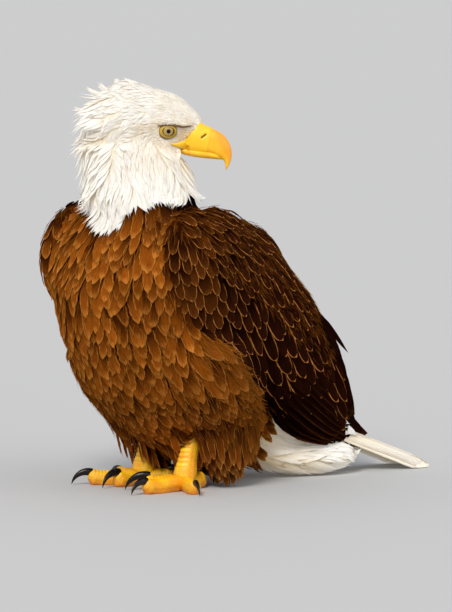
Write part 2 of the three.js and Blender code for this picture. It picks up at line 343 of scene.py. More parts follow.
class Look:
    """A material in the making. node() adds any node and hands back one of its outputs."""

    def __init__(self, name, **constants):
        self.material = bpy.data.materials.new(name)
        self.material.use_nodes = True
        self.tree = self.material.node_tree
        self.surface = self.tree.nodes["Principled BSDF"]
        for socket, value in constants.items():
            self.surface.inputs[socket.replace("_", " ")].default_value = value

    def node(self, kind, settings=None, inputs=None, output=0):
        made = self.tree.nodes.new(kind)
        for name, value in (settings or {}).items():
            setattr(made, name, value)
        for socket, value in (inputs or {}).items():
            self.join(value, made.inputs[socket])
        return Shade(self, made.outputs[output])

    def join(self, value, target):
        if isinstance(value, Shade):
            self.tree.links.new(value.socket, target)
        elif target.type == "RGBA":
            target.default_value = (*value, 1)
        else:
            target.default_value = value

    def mix(self, share, first, second, way="MIX"):
        settings = {"data_type": "RGBA", "blend_type": way}
        return self.node("ShaderNodeMix", settings, {0: share, 6: first, 7: second}, 2)

    def attribute(self, name):
        return self.node("ShaderNodeAttribute", {"attribute_name": name}, output=2)

    def place(self):
        """The place on the piece, in metres."""
        return self.node("ShaderNodeTexCoord", output=3)

    def noise(self, where, scale, detail=3.0):
        inputs = {"Vector": where, "Scale": scale, "Detail": detail}
        return self.node("ShaderNodeTexNoise", None, inputs)

    def show(self, socket, value):
        self.join(value, self.surface.inputs[socket])

    def relief(self, height, distance, strength):
        """Fine relief in the surface; distance is its depth in millimetres."""
        inputs = {"Height": height, "Distance": distance * MM, "Strength": strength}
        self.show("Normal", self.node("ShaderNodeBump", None, inputs))


# What every feather carries: how white, dark and rimmed it is, how stained or painted with shade, and
# its own tone.
MARKS = ("white", "dark", "rim", "stain", "tone")
# Roots show in the gaps: partly their own darker or creamier colour, partly painted shade.
WHITE, CREAM_ROOT_SHADED, STAIN_AND_SHADE = (0.88, 0.845, 0.775), (0.82, 0.74, 0.60), (0.74, 0.56, 0.31)
GOLDEN, GOLDEN_ROOT_SHADED = (0.220, 0.057, 0.0043), (0.058, 0.013, 0.0018)
TIP_GOLD, RIM_GOLD = (0.46, 0.165, 0.025), (0.50, 0.175, 0.036)
DARK, DARK_ROOT_SHADED = (0.034, 0.0078, 0.0027), (0.006, 0.0016, 0.0008)
DARKER, TAN_EDGE = (0.006, 0.0014, 0.0009), (0.30, 0.21, 0.12)


def plumage(name, vaned, shaft=0.5, deep=1.0):
    """Feathers' colours from the marks that each carries, and along and across its vane."""
    # The white feathers glow faintly (Emission): painted light that lifts their shade.
    look = Look(
        name, Roughness=0.7, Specular_IOR_Level=0.0, Emission_Strength=0.08,
        Subsurface_Weight=0.5, Subsurface_Radius=(1.0, 0.85, 0.7), Subsurface_Scale=3.0 * MM,
    )
    white, dark, rim, stain, tone = [look.attribute(mark) for mark in MARKS]
    if vaned:
        own = look.node("ShaderNodeUVMap", {"uv_map": "Vane"})
        across, along = [look.node("ShaderNodeSeparateXYZ", None, {0: own}, out) for out in (0, 1)]
        out = abs(across - shaft) * (1 / max(shaft, 1 - shaft))
    else:
        along = tone * 0.2 + 0.1
        out = tone * 0.3
    barb = along * 13 - out * 6
    vector = look.node("ShaderNodeCombineXYZ", None, {0: barb, 1: tone * 90, 2: out * 1.5})
    streak = look.noise(vector, 1.0, 2.0)
    ripple = streak - 0.5
    tip = (along + ripple * 0.2).between(0.74, 1.0)
    edge = (out + ripple * 0.3).between(0.74, 0.98) * along.between(0.2, 0.5)
    # Darker towards the root: partly the feather's own colour, partly painted shade in the gaps.
    gold = look.mix((along + tone * 0.5 - 0.2).between(0.1, 0.9), GOLDEN_ROOT_SHADED, GOLDEN)
    gold = look.mix(tip.most(edge) * rim, gold, TIP_GOLD)
    dark_tip = tuple(deep * value for value in DARK)
    brown = look.mix(along.between(0.2, 1.0), DARK_ROOT_SHADED, dark_tip)
    # Stain and painted shade darken brown feathers.
    brown = look.mix(dark * stain, brown, DARKER)
    line = (out + ripple * 0.08).between(0.84, 0.93)
    line = line.most((along + ripple * 0.04).between(0.94, 0.98))
    brown = look.mix(line * rim * along.between(0.25, 0.6), brown, RIM_GOLD)
    body = look.mix(dark, gold, brown)
    # Creamier towards the root: partly the feather's own colour, partly painted shade in the gaps.
    pale = look.mix((along + tone * 0.6 - 0.25).between(0.0, 0.6), CREAM_ROOT_SHADED, WHITE)
    # Stain and painted shade tint white feathers buff, most at the root.
    pale = look.mix(stain * (1.1 - along * 0.5), pale, STAIN_AND_SHADE)
    # Rimmed white feathers get a tan line along their edges.
    pale = look.mix((out + ripple * 0.2).between(0.8, 1.0) * rim * 0.6, pale, TAN_EDGE)
    whole = look.mix(white, body, pale)
    value = ripple * 1.5 + tone * 0.4 + 0.8
    shade = look.node("ShaderNodeCombineColor", None, {0: value, 1: value, 2: value})
    look.show("Base Color", look.mix(1.0 - white * 0.7, whole, shade, "MULTIPLY"))
    # Painted light: white feathers glow faintly, which lifts them out of their own shade.
    look.show("Emission Color", look.mix(white, (0.0, 0.0, 0.0), pale))
    if vaned:
        quill = 1 - out.between(0.0, 0.1)
        look.relief(quill * 0.6 + streak * 0.5, distance=0.5, strength=0.7)
    return look.material


COAT_LOOK = plumage("feathers", vaned=True)
coat_roots = []
coat_marks = []


def at(told, points):
    """A told amount at each of some places: a number for them all, or a function of the place."""
    return told(points) if callable(told) else np.full(len(points), float(told))


GUIDE_BLUR = 60.0  # how far round a guide its way holds, in square millimetres
GUIDE_FALL = 1.6  # how fast its say falls beyond that


def lie_from(guides, own_frame=in_body, to_frame=np.eye(3)):
    """A field of directions over the skin, from told places and ways; the left's serve both."""
    guides = np.array(guides, float)
    places = guides[:, :3]
    ways = unit(guides[:, 3:])
    mirror = 1 if own_frame is in_head else 0

    def lie(points, normals):
        local = own_frame(points)
        sign = np.where(local[:, mirror] < 0, -1.0, 1.0)
        local[:, mirror] *= sign
        gap = ((local[:, None, :] - places[None]) ** 2).sum(axis=2)
        weight = 1 / (gap + GUIDE_BLUR) ** GUIDE_FALL
        way = (weight[:, :, None] * ways[None]).sum(axis=1)
        way[:, mirror] *= sign
        way = way @ to_frame
        way -= normals * (way * normals).sum(axis=1, keepdims=True)
        return unit(way)

    return lie


def tree_of(points):
    tree = KDTree(len(points))
    for index, point in enumerate(points):
        tree.insert(point, index)
    tree.balance()
    return tree


TRIES = 14  # places tried for each root that finds room


def strew(where, gap, stretch, lie, seed, loose):
    """Feather roots over part of the skin: gap apart across the lie, gap * stretch along it.
    Loose ones lie at random."""
    rng = np.random.default_rng(seed)
    chosen = np.flatnonzero(where)
    area = triangle_area[chosen]
    spacing = at(gap, centres[chosen]) * MM
    odds = area / spacing**2
    number = int(odds.sum())
    if not loose:
        number = int((area / (0.8 * stretch * spacing**2)).sum() * TRIES) + 20
    picks = rng.choice(chosen, size=number, p=odds / odds.sum())
    share = rng.random((number, 2))
    share = np.where(share.sum(axis=1, keepdims=True) > 1, 1 - share, share)
    a, b, c = corners[picks].transpose(1, 0, 2)
    points = a + (b - a) * share[:, :1] + (c - a) * share[:, 1:]
    normals = triangle_normal[picks]
    if loose:
        return points, normals, picks
    ways = lie(points, normals)
    spacing = at(gap, points) * MM
    kept = []
    kept_points = np.empty((number, 3))
    for index, point in enumerate(points):
        offset = kept_points[: len(kept)] - point
        forth = offset @ ways[index]
        squared = (offset**2).sum(axis=1) - forth**2 * (1 - 1 / stretch**2)
        if not kept or squared.min() > spacing[index] ** 2:
            kept_points[len(kept)] = point
            kept.append(index)
    return points[kept], normals[kept], picks[kept]


NEIGHBOURS = 9
ROOM = 1.3  # how far a root keeps its neighbours off, in gaps
NUDGE = 0.28  # how much of the way to that distance it goes at each turn


def relaxed(points, gap, stretch, lie, times):
    """Roots pushed apart until they lie in even, staggered rows."""
    for _ in range(times):
        places, normals, _ = on_skin(points)
        ways = lie(places, normals)
        tree = tree_of(places)
        spacing = at(gap, places) * MM
        near = [[hit[1] for hit in tree.find_n(point, NEIGHBOURS + 1)[1:]] for point in places]
        offset = places[:, None, :] - places[np.array(near)]
        forth = (offset * ways[:, None, :]).sum(axis=2, keepdims=True)
        squeezed = offset - ways[:, None, :] * forth * (1 - 1 / stretch)
        far = np.linalg.norm(squeezed, axis=2, keepdims=True)
        push = squeezed / np.maximum(far, 1e-6)
        push = push * np.clip(ROOM * spacing[:, None, None] - far, 0, None)
        points = places + NUDGE * push.sum(axis=1)
    return on_skin(points)


SPINE_GAP = 1.5 * MM  # how near the ground a feather's spine comes
EDGE_GAP = 0.6 * MM  # and its edges


def stations(rows):
    """Shares of a feather's length at which its width is set, closer towards the tip."""
    return 1 - (1 - np.linspace(0, 1, rows)) ** 1.6


def eased(rows, times):
    """Rows evened out in place between their neighbours, all but the first and the last."""
    for _ in range(times):
        rows[1:-1] = (rows[:-2] + 2 * rows[1:-1] + rows[2:]) / 4


def follow(points, normals, lie, length, heights, cling, hang, swing, rng):
    """Spines of feathers: stations run along the skin from each root, and rise as told."""
    steps = heights.shape[1]
    strides = np.diff(stations(steps))
    down = np.array([0.0, 0.2, -1.0]) * hang[:, None]
    way = lie(points, normals)
    turn = rng.normal(0, math.radians(swing), len(points))[:, None]
    way = unit(way * np.cos(turn) + np.cross(normals, way) * np.sin(turn) + down)
    spine = np.empty((len(points), steps, 3))
    facing = np.empty((len(points), steps, 3))
    spine[:, 0] = points + normals * heights[:, :1]
    facing[:, 0] = normals
    for step in range(1, steps):
        stride = length * strides[step - 1]
        reached = spine[:, step - 1] + way * stride[:, None]
        below, normal, _ = on_skin(reached)
        above = ((reached - below) * normal).sum(axis=1)
        lack = np.minimum(heights[:, step] - above, 0.8 * stride)
        reached += normal * (lack * np.where(lack > 0, 1, cling))[:, None]
        reached[:, 2] = np.maximum(reached[:, 2], SPINE_GAP)
        spine[:, step] = reached
        facing[:, step] = unit(facing[:, step - 1] + normal)
        ahead = unit(reached - spine[:, step - 1])
        field = lie(below, normal)
        field = field * np.cos(turn) + np.cross(normal, field) * np.sin(turn)
        field = unit(field * (1 - 0.9 * hang[:, None]) + down)
        way = unit(0.45 * ahead + 0.55 * field)
    eased(spine.swapaxes(0, 1), 2)
    return spine, facing


def closed_vanes(name, top):
    """A mesh of closed, thin forms, each from its own grid of points: arched above, flat below."""
    total, rows, columns = top.shape[:3]
    each = rows * columns
    grid = np.arange(each).reshape(rows, columns)
    upper = np.stack([grid[:-1, :-1], grid[:-1, 1:], grid[1:, 1:], grid[1:, :-1]], axis=-1)
    left, right = grid[:, 0], grid[:, -1]
    lower = np.stack([left[1:], right[1:], right[:-1], left[:-1]], axis=-1)
    quads = np.concatenate([upper.reshape(-1, 4), lower])
    pattern = np.concatenate([quads.ravel(), grid[0], grid[-1][::-1]])
    sizes = np.concatenate([np.full(len(quads), 4), np.full(2, columns)])
    faces = (pattern[None] + each * np.arange(total)[:, None]).ravel()
    starts = np.concatenate([[0], np.cumsum(np.tile(sizes, total))[:-1]])
    mesh = bpy.data.meshes.new(name)
    mesh.vertices.add(total * each)
    mesh.vertices.foreach_set("co", top.ravel())
    mesh.loops.add(len(faces))
    mesh.loops.foreach_set("vertex_index", faces)
    mesh.polygons.add(len(starts))
    mesh.polygons.foreach_set("loop_start", starts)
    mesh.polygons.foreach_set("use_smooth", np.ones(len(starts), bool))
    mesh.update(calc_edges=True)
    rim = np.ones((rows, columns), bool)
    rim[1:-1, 1:-1] = False
    pairs = read(mesh.edges, "vertices", 2, int) % each
    mesh.edges.foreach_set("use_edge_sharp", rim.ravel()[pairs].all(axis=1))
    return mesh, faces


def vanes(name, material, spine, facing, half, marks, patch, rng, columns, cup, bow, fray,
          shown=0.0):
    """A piece of vanes along their spines. half: half widths; cup and bow: how far the middle
    arches up and the tip rounds off; patch: middles, size and squeeze of their bake patches."""
    total, rows = spine.shape[:2]
    across = np.linspace(-1, 1, columns)
    tangent = unit(np.gradient(spine, axis=1))
    side = unit(np.cross(tangent, facing))
    upward = np.cross(side, tangent)
    width = half[:, :, None, None]
    u = across[None, None, :, None]
    v = stations(rows)[None, :, None, None]
    teeth = np.where(np.arange(rows) % 2 == 0, 1.0, -1.0)[None, :, None, None] * np.sign(u)
    grain = (total, rows, columns, 1)
    ragged = (teeth * 0.6 + rng.normal(0, 0.7, grain)) * fray * ramp(v, 0.2, 0.6)
    top = spine[:, :, None, :] + side[:, :, None, :] * u * width * (1 + ragged * np.abs(u))
    top = top + upward[:, :, None, :] * cup * (1 - u**2) * width
    shift = bow * u**2 * half.max(axis=1)[:, None, None, None] * v**3
    shift = shift + rng.normal(0, 1, grain) * fray * 9 * MM * v**5
    top = top - tangent[:, :, None, :] * shift
    top[..., 2] = np.maximum(top[..., 2], EDGE_GAP)
    mesh, faces = closed_vanes(name, top)

    grid_v, grid_u = np.meshgrid(stations(rows), across, indexing="ij")
    own = np.stack([(grid_u + 1) / 2, grid_v], axis=-1).reshape(-1, 2)
    places, size, squeeze = patch
    offset = own * 2 - 1
    offset[:, 0] = np.sign(offset[:, 0]) * np.abs(offset[:, 0]) ** squeeze
    bake = places[:, None, :] + offset[None] * np.array(size) / 2
    own[:, 1] = shown + (1 - shown) * own[:, 1]
    for layer, values in (("OFBake", bake.reshape(-1, 2)), ("Vane", np.tile(own, (total, 1)))):
        mesh.uv_layers.new(name=layer).data.foreach_set("uv", values[faces].ravel())
    for mark, values in marks.items():
        keep_mark(mesh, mark, np.repeat(values, rows * columns))
    mesh.materials.append(material)
    return new_piece(name, mesh)


PATCH = 0.003  # a feather's share of the bake map


def rounded(v, start, end=0.1):
    """Half width of a vane that is full up to start and rounds off to a narrow end."""
    cap = np.sqrt(np.clip(1 - (np.clip(v - start, 0, 1) / (1 - start)) ** 2, 0, 1))
    return (0.5 + 0.5 * ramp(v, 0, 0.3)) * np.maximum(cap, end)


def lance(v):
    return (0.5 + 0.5 * ramp(v, 0, 0.3)) * (1 - 0.96 * np.clip((v - 0.4) / 0.6, 0, 1) ** 1.7)


def grow(name, slot, where, lie, marks, seed, gap, length, width, stretch=1.9, loose=False,
         even=0, tuft=0, rows=11, columns=5, rise=(0.8, 7.0), lift=0.5, perch=0, cling=0.6,
         hang=0, swing=7, outline=lance, cup=0.2, bow=0.5, fray=0.07, shown=0.0):
    """Strews one tract's roots, grows its feathers and makes them a piece of the coat.

    tuft: how many lean together; rise: height at root and tip; lift: how far some stray up;
    perch: how far all do; cling: how hard they are drawn to the skin; hang: how much they
    fall instead of following the lie."""
    rng = np.random.default_rng(seed)
    points, normals, faces = strew(where, gap, stretch, lie, seed, loose)
    if even:
        points, normals, faces = relaxed(points, gap, stretch, lie, even)
    total = len(points)
    v = stations(rows)
    long = at(length, points) * rng.uniform(0.88, 1.12, total) * MM
    wide = at(width, points) * rng.uniform(0.9, 1.1, total) * MM
    stray = np.abs(rng.normal(0, 1, total))
    tone = rng.random(total)
    if tuft:
        hearts = rng.choice(total, size=int(total / tuft), replace=False)
        tree = tree_of(points[hearts])
        heart = hearts[[tree.find(point)[1] for point in points]]
        stray = 0.3 * stray + 0.7 * stray[heart]
        tone = 0.4 * tone + 0.6 * tone[heart]
    low, high = rise
    lifted = (stray * at(lift, points))[:, None] + rng.normal(0, 0.3, (total, 1))
    heights = low + (high - low) * v[None] + lifted * v[None] ** 2
    heights += at(perch, points)[:, None] * v[None]
    heights = np.maximum(heights, 0.3) * MM
    spine, facing = follow(
        points, normals, lie, long, heights, at(cling, points), at(hang, points), swing, rng
    )
    if tuft:
        side = unit(np.cross(normals, lie(points, normals)))
        gather = ((points[heart] - points) * side).sum(axis=1)[:, None] * 0.75 * v[None] ** 1.4
        spine += side[:, None, :] * gather[:, :, None]
    told = {mark: at(marks.get(mark, 0), points) for mark in MARKS}
    told["tone"] = tone
    coat_roots.append(points)
    coat_marks.append(np.stack([told[mark] for mark in MARKS], axis=1))
    patch = (on_unwrap(points, faces), (PATCH, PATCH), 2)
    half = wide[:, None] / 2 * outline(v)[None]
    coat = vanes(
        name, COAT_LOOK, spine, facing, half, told, patch, rng, columns, cup, bow, fray, shown
    )


HEAD_LIE = lie_from(
    [
        (72, 0, 14, -0.8, 0, 0.6), (45, 0, 42, -1, 0, 0.3), (10, 0, 54, -1, 0, 0.0),
        (-35, 0, 56, -1, 0, -0.15), (-60, 0, 30, -0.7, 0, -0.7), (-74, 0, -10, -0.4, 0, -0.9),
        (-60, 25, -30, -0.45, 0, -0.9), (50, 20, 10, -1, 0.1, 0.15), (18, 38, 4, -1, 0, -0.2),
        (-20, 46, 10, -0.85, 0, -0.5), (-10, 44, -25, -0.5, 0, -0.87),
        (20, 38, -22, -0.72, 0, -0.7), (45, 28, -24, -0.75, 0, -0.65),
        (62, 18, -12, -1, 0, -0.1), (64, 8, -46, -0.8, 0, -0.6), (40, 0, -56, -0.6, 0, -0.8),
        (20, 30, -48, -0.45, 0, -0.9), (-20, 35, -55, -0.3, 0, -0.95),
    ],
    in_head,
    head_axes,
)
EYE_CLEAR = 10.5
FACE_END = 22
head_centres = in_head(centres)
ahead, side, height = head_centres.T
bare = (np.hypot(ahead - EYE_FORWARD, height - EYE_UP) < EYE_CLEAR) & (np.abs(side) > 12)
mouth_line = -21.5 - 0.24 * (ahead - 45)
bare |= (np.abs(height - mouth_line) < 1.2 + 0.36 * (ahead - 45)) & (ahead > 44)


def face_share(points):
    return ramp(in_head(points)[:, 0], -5, 45)


def face_stain(points):
    """Grey-buff: the lores' tint before the eye; painted shade behind it, on the cheek, under the
    bill, in nape hollows.
    """
    local = in_head(points)
    local[:, 1] = np.abs(local[:, 1])
    stain = 1.2 * hill(local, (66, 18, -11), (14, 16, 14))
    stain += 0.6 * hill(local, (16, 36, 2), (18, 20, 6))
    stain += 0.36 * hill(local, (20, 34, -28), (34, 26, 24))
    stain += 0.45 * hill(local, (-52, 34, -14), (14, 24, 12))
    stain += 0.3 * hill(local, (60, 14, -48), (12, 18, 8))
    return np.clip(stain, 0, 1)


# The white feathers of the head and neck carry the face's stain and painted shade.
WHITE_MARKS = {"white": 1, "stain": face_stain}
grow(
    "coat_face", "white_feathers", part_is("head") & (ahead > FACE_END) & ~bare, HEAD_LIE,
    WHITE_MARKS, seed=11,
    gap=lambda p: 3.2 - 1.1 * face_share(p), stretch=1.4,
    length=lambda p: 13 - 5.5 * face_share(p),
    width=lambda p: 4.2 - 1.5 * face_share(p),
    rows=4, columns=3, rise=(0.4, 1.5), lift=0.2, cup=0.12, fray=0.03,
)

# ---------------------------------------------------------------- crown, nape and throat
# Longer, pointed white feathers cover the back of the head; on the crown's rear and the
# nape they stand up in spikes that the wind has parted.


def nape_share(points):
    return ramp(-in_head(points)[:, 0], 15, 60)


def cheek_share(points):
    """1 where the cheek's feathers pass into the neck's."""
    return ramp(-in_head(points)[:, 2], 2, 34)


def long_share(points):
    return np.maximum(nape_share(points), 0.75 * cheek_share(points))


def crest(points):
    """1 on the crown's rear, where shorter feathers stand upright."""
    return nape_share(points) * ramp(in_head(points)[:, 2], -5, 30)


grow(
    "coat_crown", "white_feathers", part_is("head") & (ahead <= FACE_END), HEAD_LIE,
    WHITE_MARKS, seed=12,
    gap=lambda p: 2.9 + 1.3 * long_share(p), stretch=1.5,
    length=lambda p: 15 + 21 * long_share(p) - 10 * crest(p),
    width=lambda p: 4.6 + 2.0 * long_share(p),
    tuft=14, rows=7, rise=(0.5, 2.6),
    lift=lambda p: 0.3 + 19.0 * nape_share(p) ** 1.4 * ramp(in_head(p)[:, 2], -45, 15),
    perch=lambda p: 2.0 * cheek_share(p), cling=0.1, cup=0.12, fray=0.05,
)

# Bunches of lances that the wind lifts off the crown's rear: root, point and their number.
SPIKES = [
    ((-25, 0, 46), (-33, 0, 62), 14), ((-36, 5, 34), (-57, 6, 54), 10),
    ((-42, -3, 28), (-72, -3, 47), 18), ((-54, 3, 10), (-90, 4, 18), 18),
    ((-60, -2, 4), (-86, -2, -2), 9), ((-62, 3, -6), (-91, 4, -30), 16),
]
SPIKE_ROWS = 7
rng = np.random.default_rng(41)
v = stations(SPIKE_ROWS)[:, None]
spines, facings, halves = [], [], []
for root, point, number in SPIKES:
    root, point = np.array(root, float), np.array(point, float)
    for _ in range(number):
        start = root + rng.normal(0, 1, 3) * (3.0, 5.0, 3.0)
        end = root + (point - root) * rng.uniform(0.72, 1.04) + rng.normal(0, 1.7, 3)
        bend = rng.normal(0, 1.2) * 4 * v * (1 - v)
        spines.append(from_head(start + (end - start) * v + bend * np.array([0.6, 0.0, 0.8])))
        way = np.array([rng.normal(0, 0.25), rng.choice([-1.0, 1.0]), rng.normal(0, 0.25)])
        facings.append(np.tile(unit(way @ head_axes), (SPIKE_ROWS, 1)))
        halves.append(rng.uniform(1.5, 2.4) * lance(v[:, 0]) * MM)


def plain_marks(total, rng, **told):
    """The same marks on every feather, with the tone at random."""
    marks = {mark: np.full(total, told.get(mark, 0.0)) for mark in MARKS}
    marks["tone"] = rng.random(total)
    return marks


spines = np.array(spines)
marks = plain_marks(len(spines), rng, white=1.0)
places, _, faces = on_skin(spines[:, 0])
crest_spikes = vanes(
    "crest_spikes", COAT_LOOK, spines, np.array(facings), np.array(halves), marks,
    (on_unwrap(places, faces), (PATCH, PATCH), 2), rng, columns=3, cup=0.12, bow=0.1, fray=0.03,
)

# ---------------------------------------------------------------- neck hackles
# Long lance-shaped hackles hang round the neck as a cape; their points lie over the brown
# of the breast and shoulders, lowest in front.
NECK_AXIS = (4.0, -70.0)
CAPE_EDGE = [  # angle round the neck, and the height at which the hackles' points end
    (-180, 397), (-130, 390), (-100, 376), (-60, 370), (-30, 354), (-8, 344), (10, 344),
    (22, 349), (32, 360), (45, 374), (60, 380), (72, 386), (90, 388), (105, 384), (132, 388),
    (160, 395), (180, 397),
]
HACKLE = 46.0
NECK_LIE = lie_from([
    (0, -130, 450, 0, 0, -1), (0, -140, 380, 0, -0.1, -1), (75, -55, 450, 0, 0, -1),
    (80, -55, 380, 0.25, 0, -1), (0, 10, 450, 0, 0.05, -1), (0, 20, 390, 0, 0.5, -0.8),
    (60, 0, 390, 0.3, 0.4, -0.8),
])


def around_neck(points):
    """Angle round the neck in degrees: 0 in front, 90 on the bird's left."""
    local = in_body(points)
    return np.degrees(np.arctan2(local[:, 0] - NECK_AXIS[0], NECK_AXIS[1] - local[:, 1]))


def above_cape(points):
    return in_body(points)[:, 2] - np.interp(around_neck(points), *np.array(CAPE_EDGE).T)


def ruffled(points):
    """1 where the nape's hackles stand up, behind the turned head."""
    away = np.abs((around_neck(points) + 50 + 180) % 360 - 180)
    return (1 - ramp(away, 25, 85)) * ramp(in_body(points)[:, 2], 385, 430)


def down_neck(points):
    return ramp(485 - in_body(points)[:, 2], 0, 80)


def flared(points):
    """1 where the cape's edge stands away from the back, on the bird's left."""
    away = np.abs((around_neck(points) - 132 + 180) % 360 - 180)
    return (1 - ramp(away, 20, 80)) * ramp(470 - in_body(points)[:, 2], 0, 50)


def hackle_perch(points):
    stand_off = (4 + 12 * ramp(425 - in_body(points)[:, 2], 0, 30)) * flared(points)
    return 1.5 * down_neck(points) + stand_off + 4.5 * ruffled(points)


over_cape = above_cape(centres)
neck_parts = part_is("neck", "trunk", "wing_left_coverts", "wing_right_coverts")
grow(
    "coat_neck", "white_feathers", neck_parts & (over_cape > HACKLE * 0.45), NECK_LIE,
    WHITE_MARKS, seed=13,
    gap=lambda p: 3.3 + 1.0 * down_neck(p), stretch=1.7,
    length=lambda p: np.minimum(26 + 24 * down_neck(p), above_cape(p) + 3),
    width=lambda p: 5.6 + 2.6 * down_neck(p),
    even=3, tuft=12, rows=8, rise=(0.5, 4.0), lift=lambda p: 0.8 + 7.0 * ruffled(p),
    perch=hackle_perch, cling=lambda p: 0.3 - 0.3 * flared(p), swing=5, cup=0.12, fray=0.06,
)

# ---------------------------------------------------------------- breast, belly and back
# Golden-brown feathers with paler tips lie like tiles down the breast and sweep back along
# the flanks; over the back they are darker, with thin golden rims.
TRUNK_LIE = lie_from([
    (0, -150, 350, 0, -0.1, -1), (60, -140, 330, 0.05, 0, -1), (95, -95, 380, 0.1, -0.1, -1),
    (110, -90, 300, 0.0, 0.1, -1), (0, -160, 230, 0, 0.15, -1), (70, -130, 220, 0, 0.3, -1),
    (110, -60, 200, 0, 0.55, -0.85), (0, -110, 130, 0, 0.5, -0.85), (0, 0, 80, 0, 0.95, -0.4),
    (100, 40, 150, 0, 0.85, -0.55), (70, 130, 90, 0, 0.95, -0.3), (0, 160, 40, 0.2, 0.98, -0.1),
    (0, 30, 400, 0, 0.6, -0.6), (40, 60, 370, 0, 0.8, -0.57), (0, 110, 320, 0, 0.82, -0.57),
    (0, 200, 210, 0, 0.82, -0.57),
])


def back_share(points):
    """1 over the back, 0 on the breast."""
    local = in_body(points)
    return ramp(local[:, 1] * 0.57 + (local[:, 2] - 250) * 0.82, 40, 110)


def low_share(points):
    return ramp(200 - in_body(points)[:, 2], 0, 90)


def by_leg(points):
    """1 close round the ankles, where the last feathers hang as trousers."""
    local = in_body(points)
    away = np.hypot(np.abs(local[:, 0]) - 45, local[:, 1])
    return (1 - ramp(away, 25, 50)) * ramp(118 - local[:, 2], 0, 24)


def vent_share(points):
    """1 at the rear of the belly, where the feathers hang."""
    local = in_body(points)
    return ramp(local[:, 1], 0, 70) * ramp(120 - local[:, 2], 0, 50)


def patchy(points):
    """Slow waves of darker and lighter plumage over the breast, from -1 to 1."""
    x, y, z = in_body(points).T
    return np.sin(x / 19 + 1.3 * np.sin(z / 31)) * np.sin(z / 24 + y / 40 + 1.7)


def trunk_dark(points):
    dark = 0.08 + 0.14 * patchy(points) + 0.85 * back_share(points) + 0.2 * low_share(points)
    return np.clip(dark, 0, 1)


def tile(v):
    return rounded(v, 0.6)


# Loose barbs, the same for every tract that has them.
WISPS = {
    "stretch": 1, "loose": True, "rows": 4, "columns": 3, "cup": 0.4, "fray": 0.0, "width": 1.2
}
is_trunk = part_is("trunk", "neck")
grow(
    "coat_trunk", "body_feathers", is_trunk & (over_cape < 14), TRUNK_LIE,
    {"dark": trunk_dark, "rim": lambda p: 0.85 - 0.35 * back_share(p)}, seed=14,
    gap=lambda p: 8.8 + 5.0 * back_share(p) - 2.2 * low_share(p),
    length=lambda p: 46 + 14 * back_share(p) - 10 * low_share(p) + 9 * vent_share(p) + 6 * by_leg(p),
    width=lambda p: 13.8 + 7 * back_share(p) - 2.6 * low_share(p),
    even=3, rows=10, rise=(2.0, 5.5), lift=lambda p: 1.1 - 0.8 * back_share(p),
    cling=lambda p: 0.8 * (1 - np.maximum(0.8 * vent_share(p), by_leg(p))),
    hang=lambda p: np.maximum(0.6 * vent_share(p), by_leg(p)),
    swing=10, bow=0.12, fray=0.08, outline=tile,
)
grow(
    "wisps_breast", "body_feathers", is_trunk & (over_cape < 6) & (back_share(centres) < 0.4),
    TRUNK_LIE, {"dark": trunk_dark, "rim": 0.3}, seed=32, gap=8.5, length=17,
    shown=0.6, rise=(4.0, 6.6), lift=0.7, cling=0.8, swing=13, **WISPS,
)

# ---------------------------------------------------------------- thighs
# The thigh's loose brown feathers hang as trousers down to the ankle, and the flank's sweep
# back over the lower edge of the wing.
THIGH_LIE = lie_from([
    (110, -60, 230, 0, 0.55, -0.83), (130, -10, 190, 0, 0.75, -0.66),
    (120, 60, 150, 0, 0.86, -0.5), (80, -80, 150, 0, 0.4, -0.9),
    (100, -10, 110, 0, 0.65, -0.75), (60, 10, 60, 0, 0.3, -0.95),
    (70, 100, 90, 0, 0.85, -0.5), (45, 60, 40, 0, 0.6, -0.8),
])
FLANK_END = 134


def up_flank(points):
    """How far up and back a place lies, across the line where the flank's feathers end."""
    local = in_body(points)
    return 0.69 * local[:, 1] + 0.73 * local[:, 2]


def thigh_dark(points):
    return np.clip(0.24 + 0.14 * patchy(points) + 0.2 * low_share(points), 0, 1)


def at_ankle(points):
    return ramp(112 - in_body(points)[:, 2], 0, 24)


def flank_edge(points):
    """1 where the flank's feathers end over the wing."""
    return ramp(up_flank(points), 85, 130)


past_flank = up_flank(centres) - FLANK_END
for flank in ("left", "right"):
    is_thigh = part_is(f"thigh_{flank}") & (past_flank < 0)
    grow(
        f"coat_thigh_{flank}", "body_feathers", is_thigh, THIGH_LIE,
        {"dark": thigh_dark, "rim": 0.8}, seed=15,
        gap=lambda p: 12.5 - 5.1 * low_share(p),
        length=lambda p: 66 - 32 * low_share(p) + 17 * at_ankle(p) - 8 * flank_edge(p),
        width=lambda p: 21 - 9.5 * low_share(p) - 3 * flank_edge(p),
        even=3, rise=(1.6, 5.0), lift=0.8, perch=lambda p: 3.0 * flank_edge(p),
        cling=lambda p: 0.75 * (1 - at_ankle(p)), hang=at_ankle, swing=8,
        outline=lambda v: rounded(v, 0.5), bow=0.1, fray=0.08,
    )
    grow(
        f"wisps_thigh_{flank}", "body_feathers", is_thigh, THIGH_LIE,
        {"dark": thigh_dark, "rim": 0.3}, seed=33,
        gap=lambda p: 7.0 - 3.4 * flank_edge(p) - 1.5 * at_ankle(p),
        length=lambda p: 24 - 5 * low_share(p) + 17 * at_ankle(p) + 10 * flank_edge(p),
        shown=0.55, rise=(4.0, 7.0), lift=1.0, perch=lambda p: 5.0 * flank_edge(p),
        cling=lambda p: 0.7 * (1 - at_ankle(p)), hang=at_ankle, swing=13, **WISPS,
    )

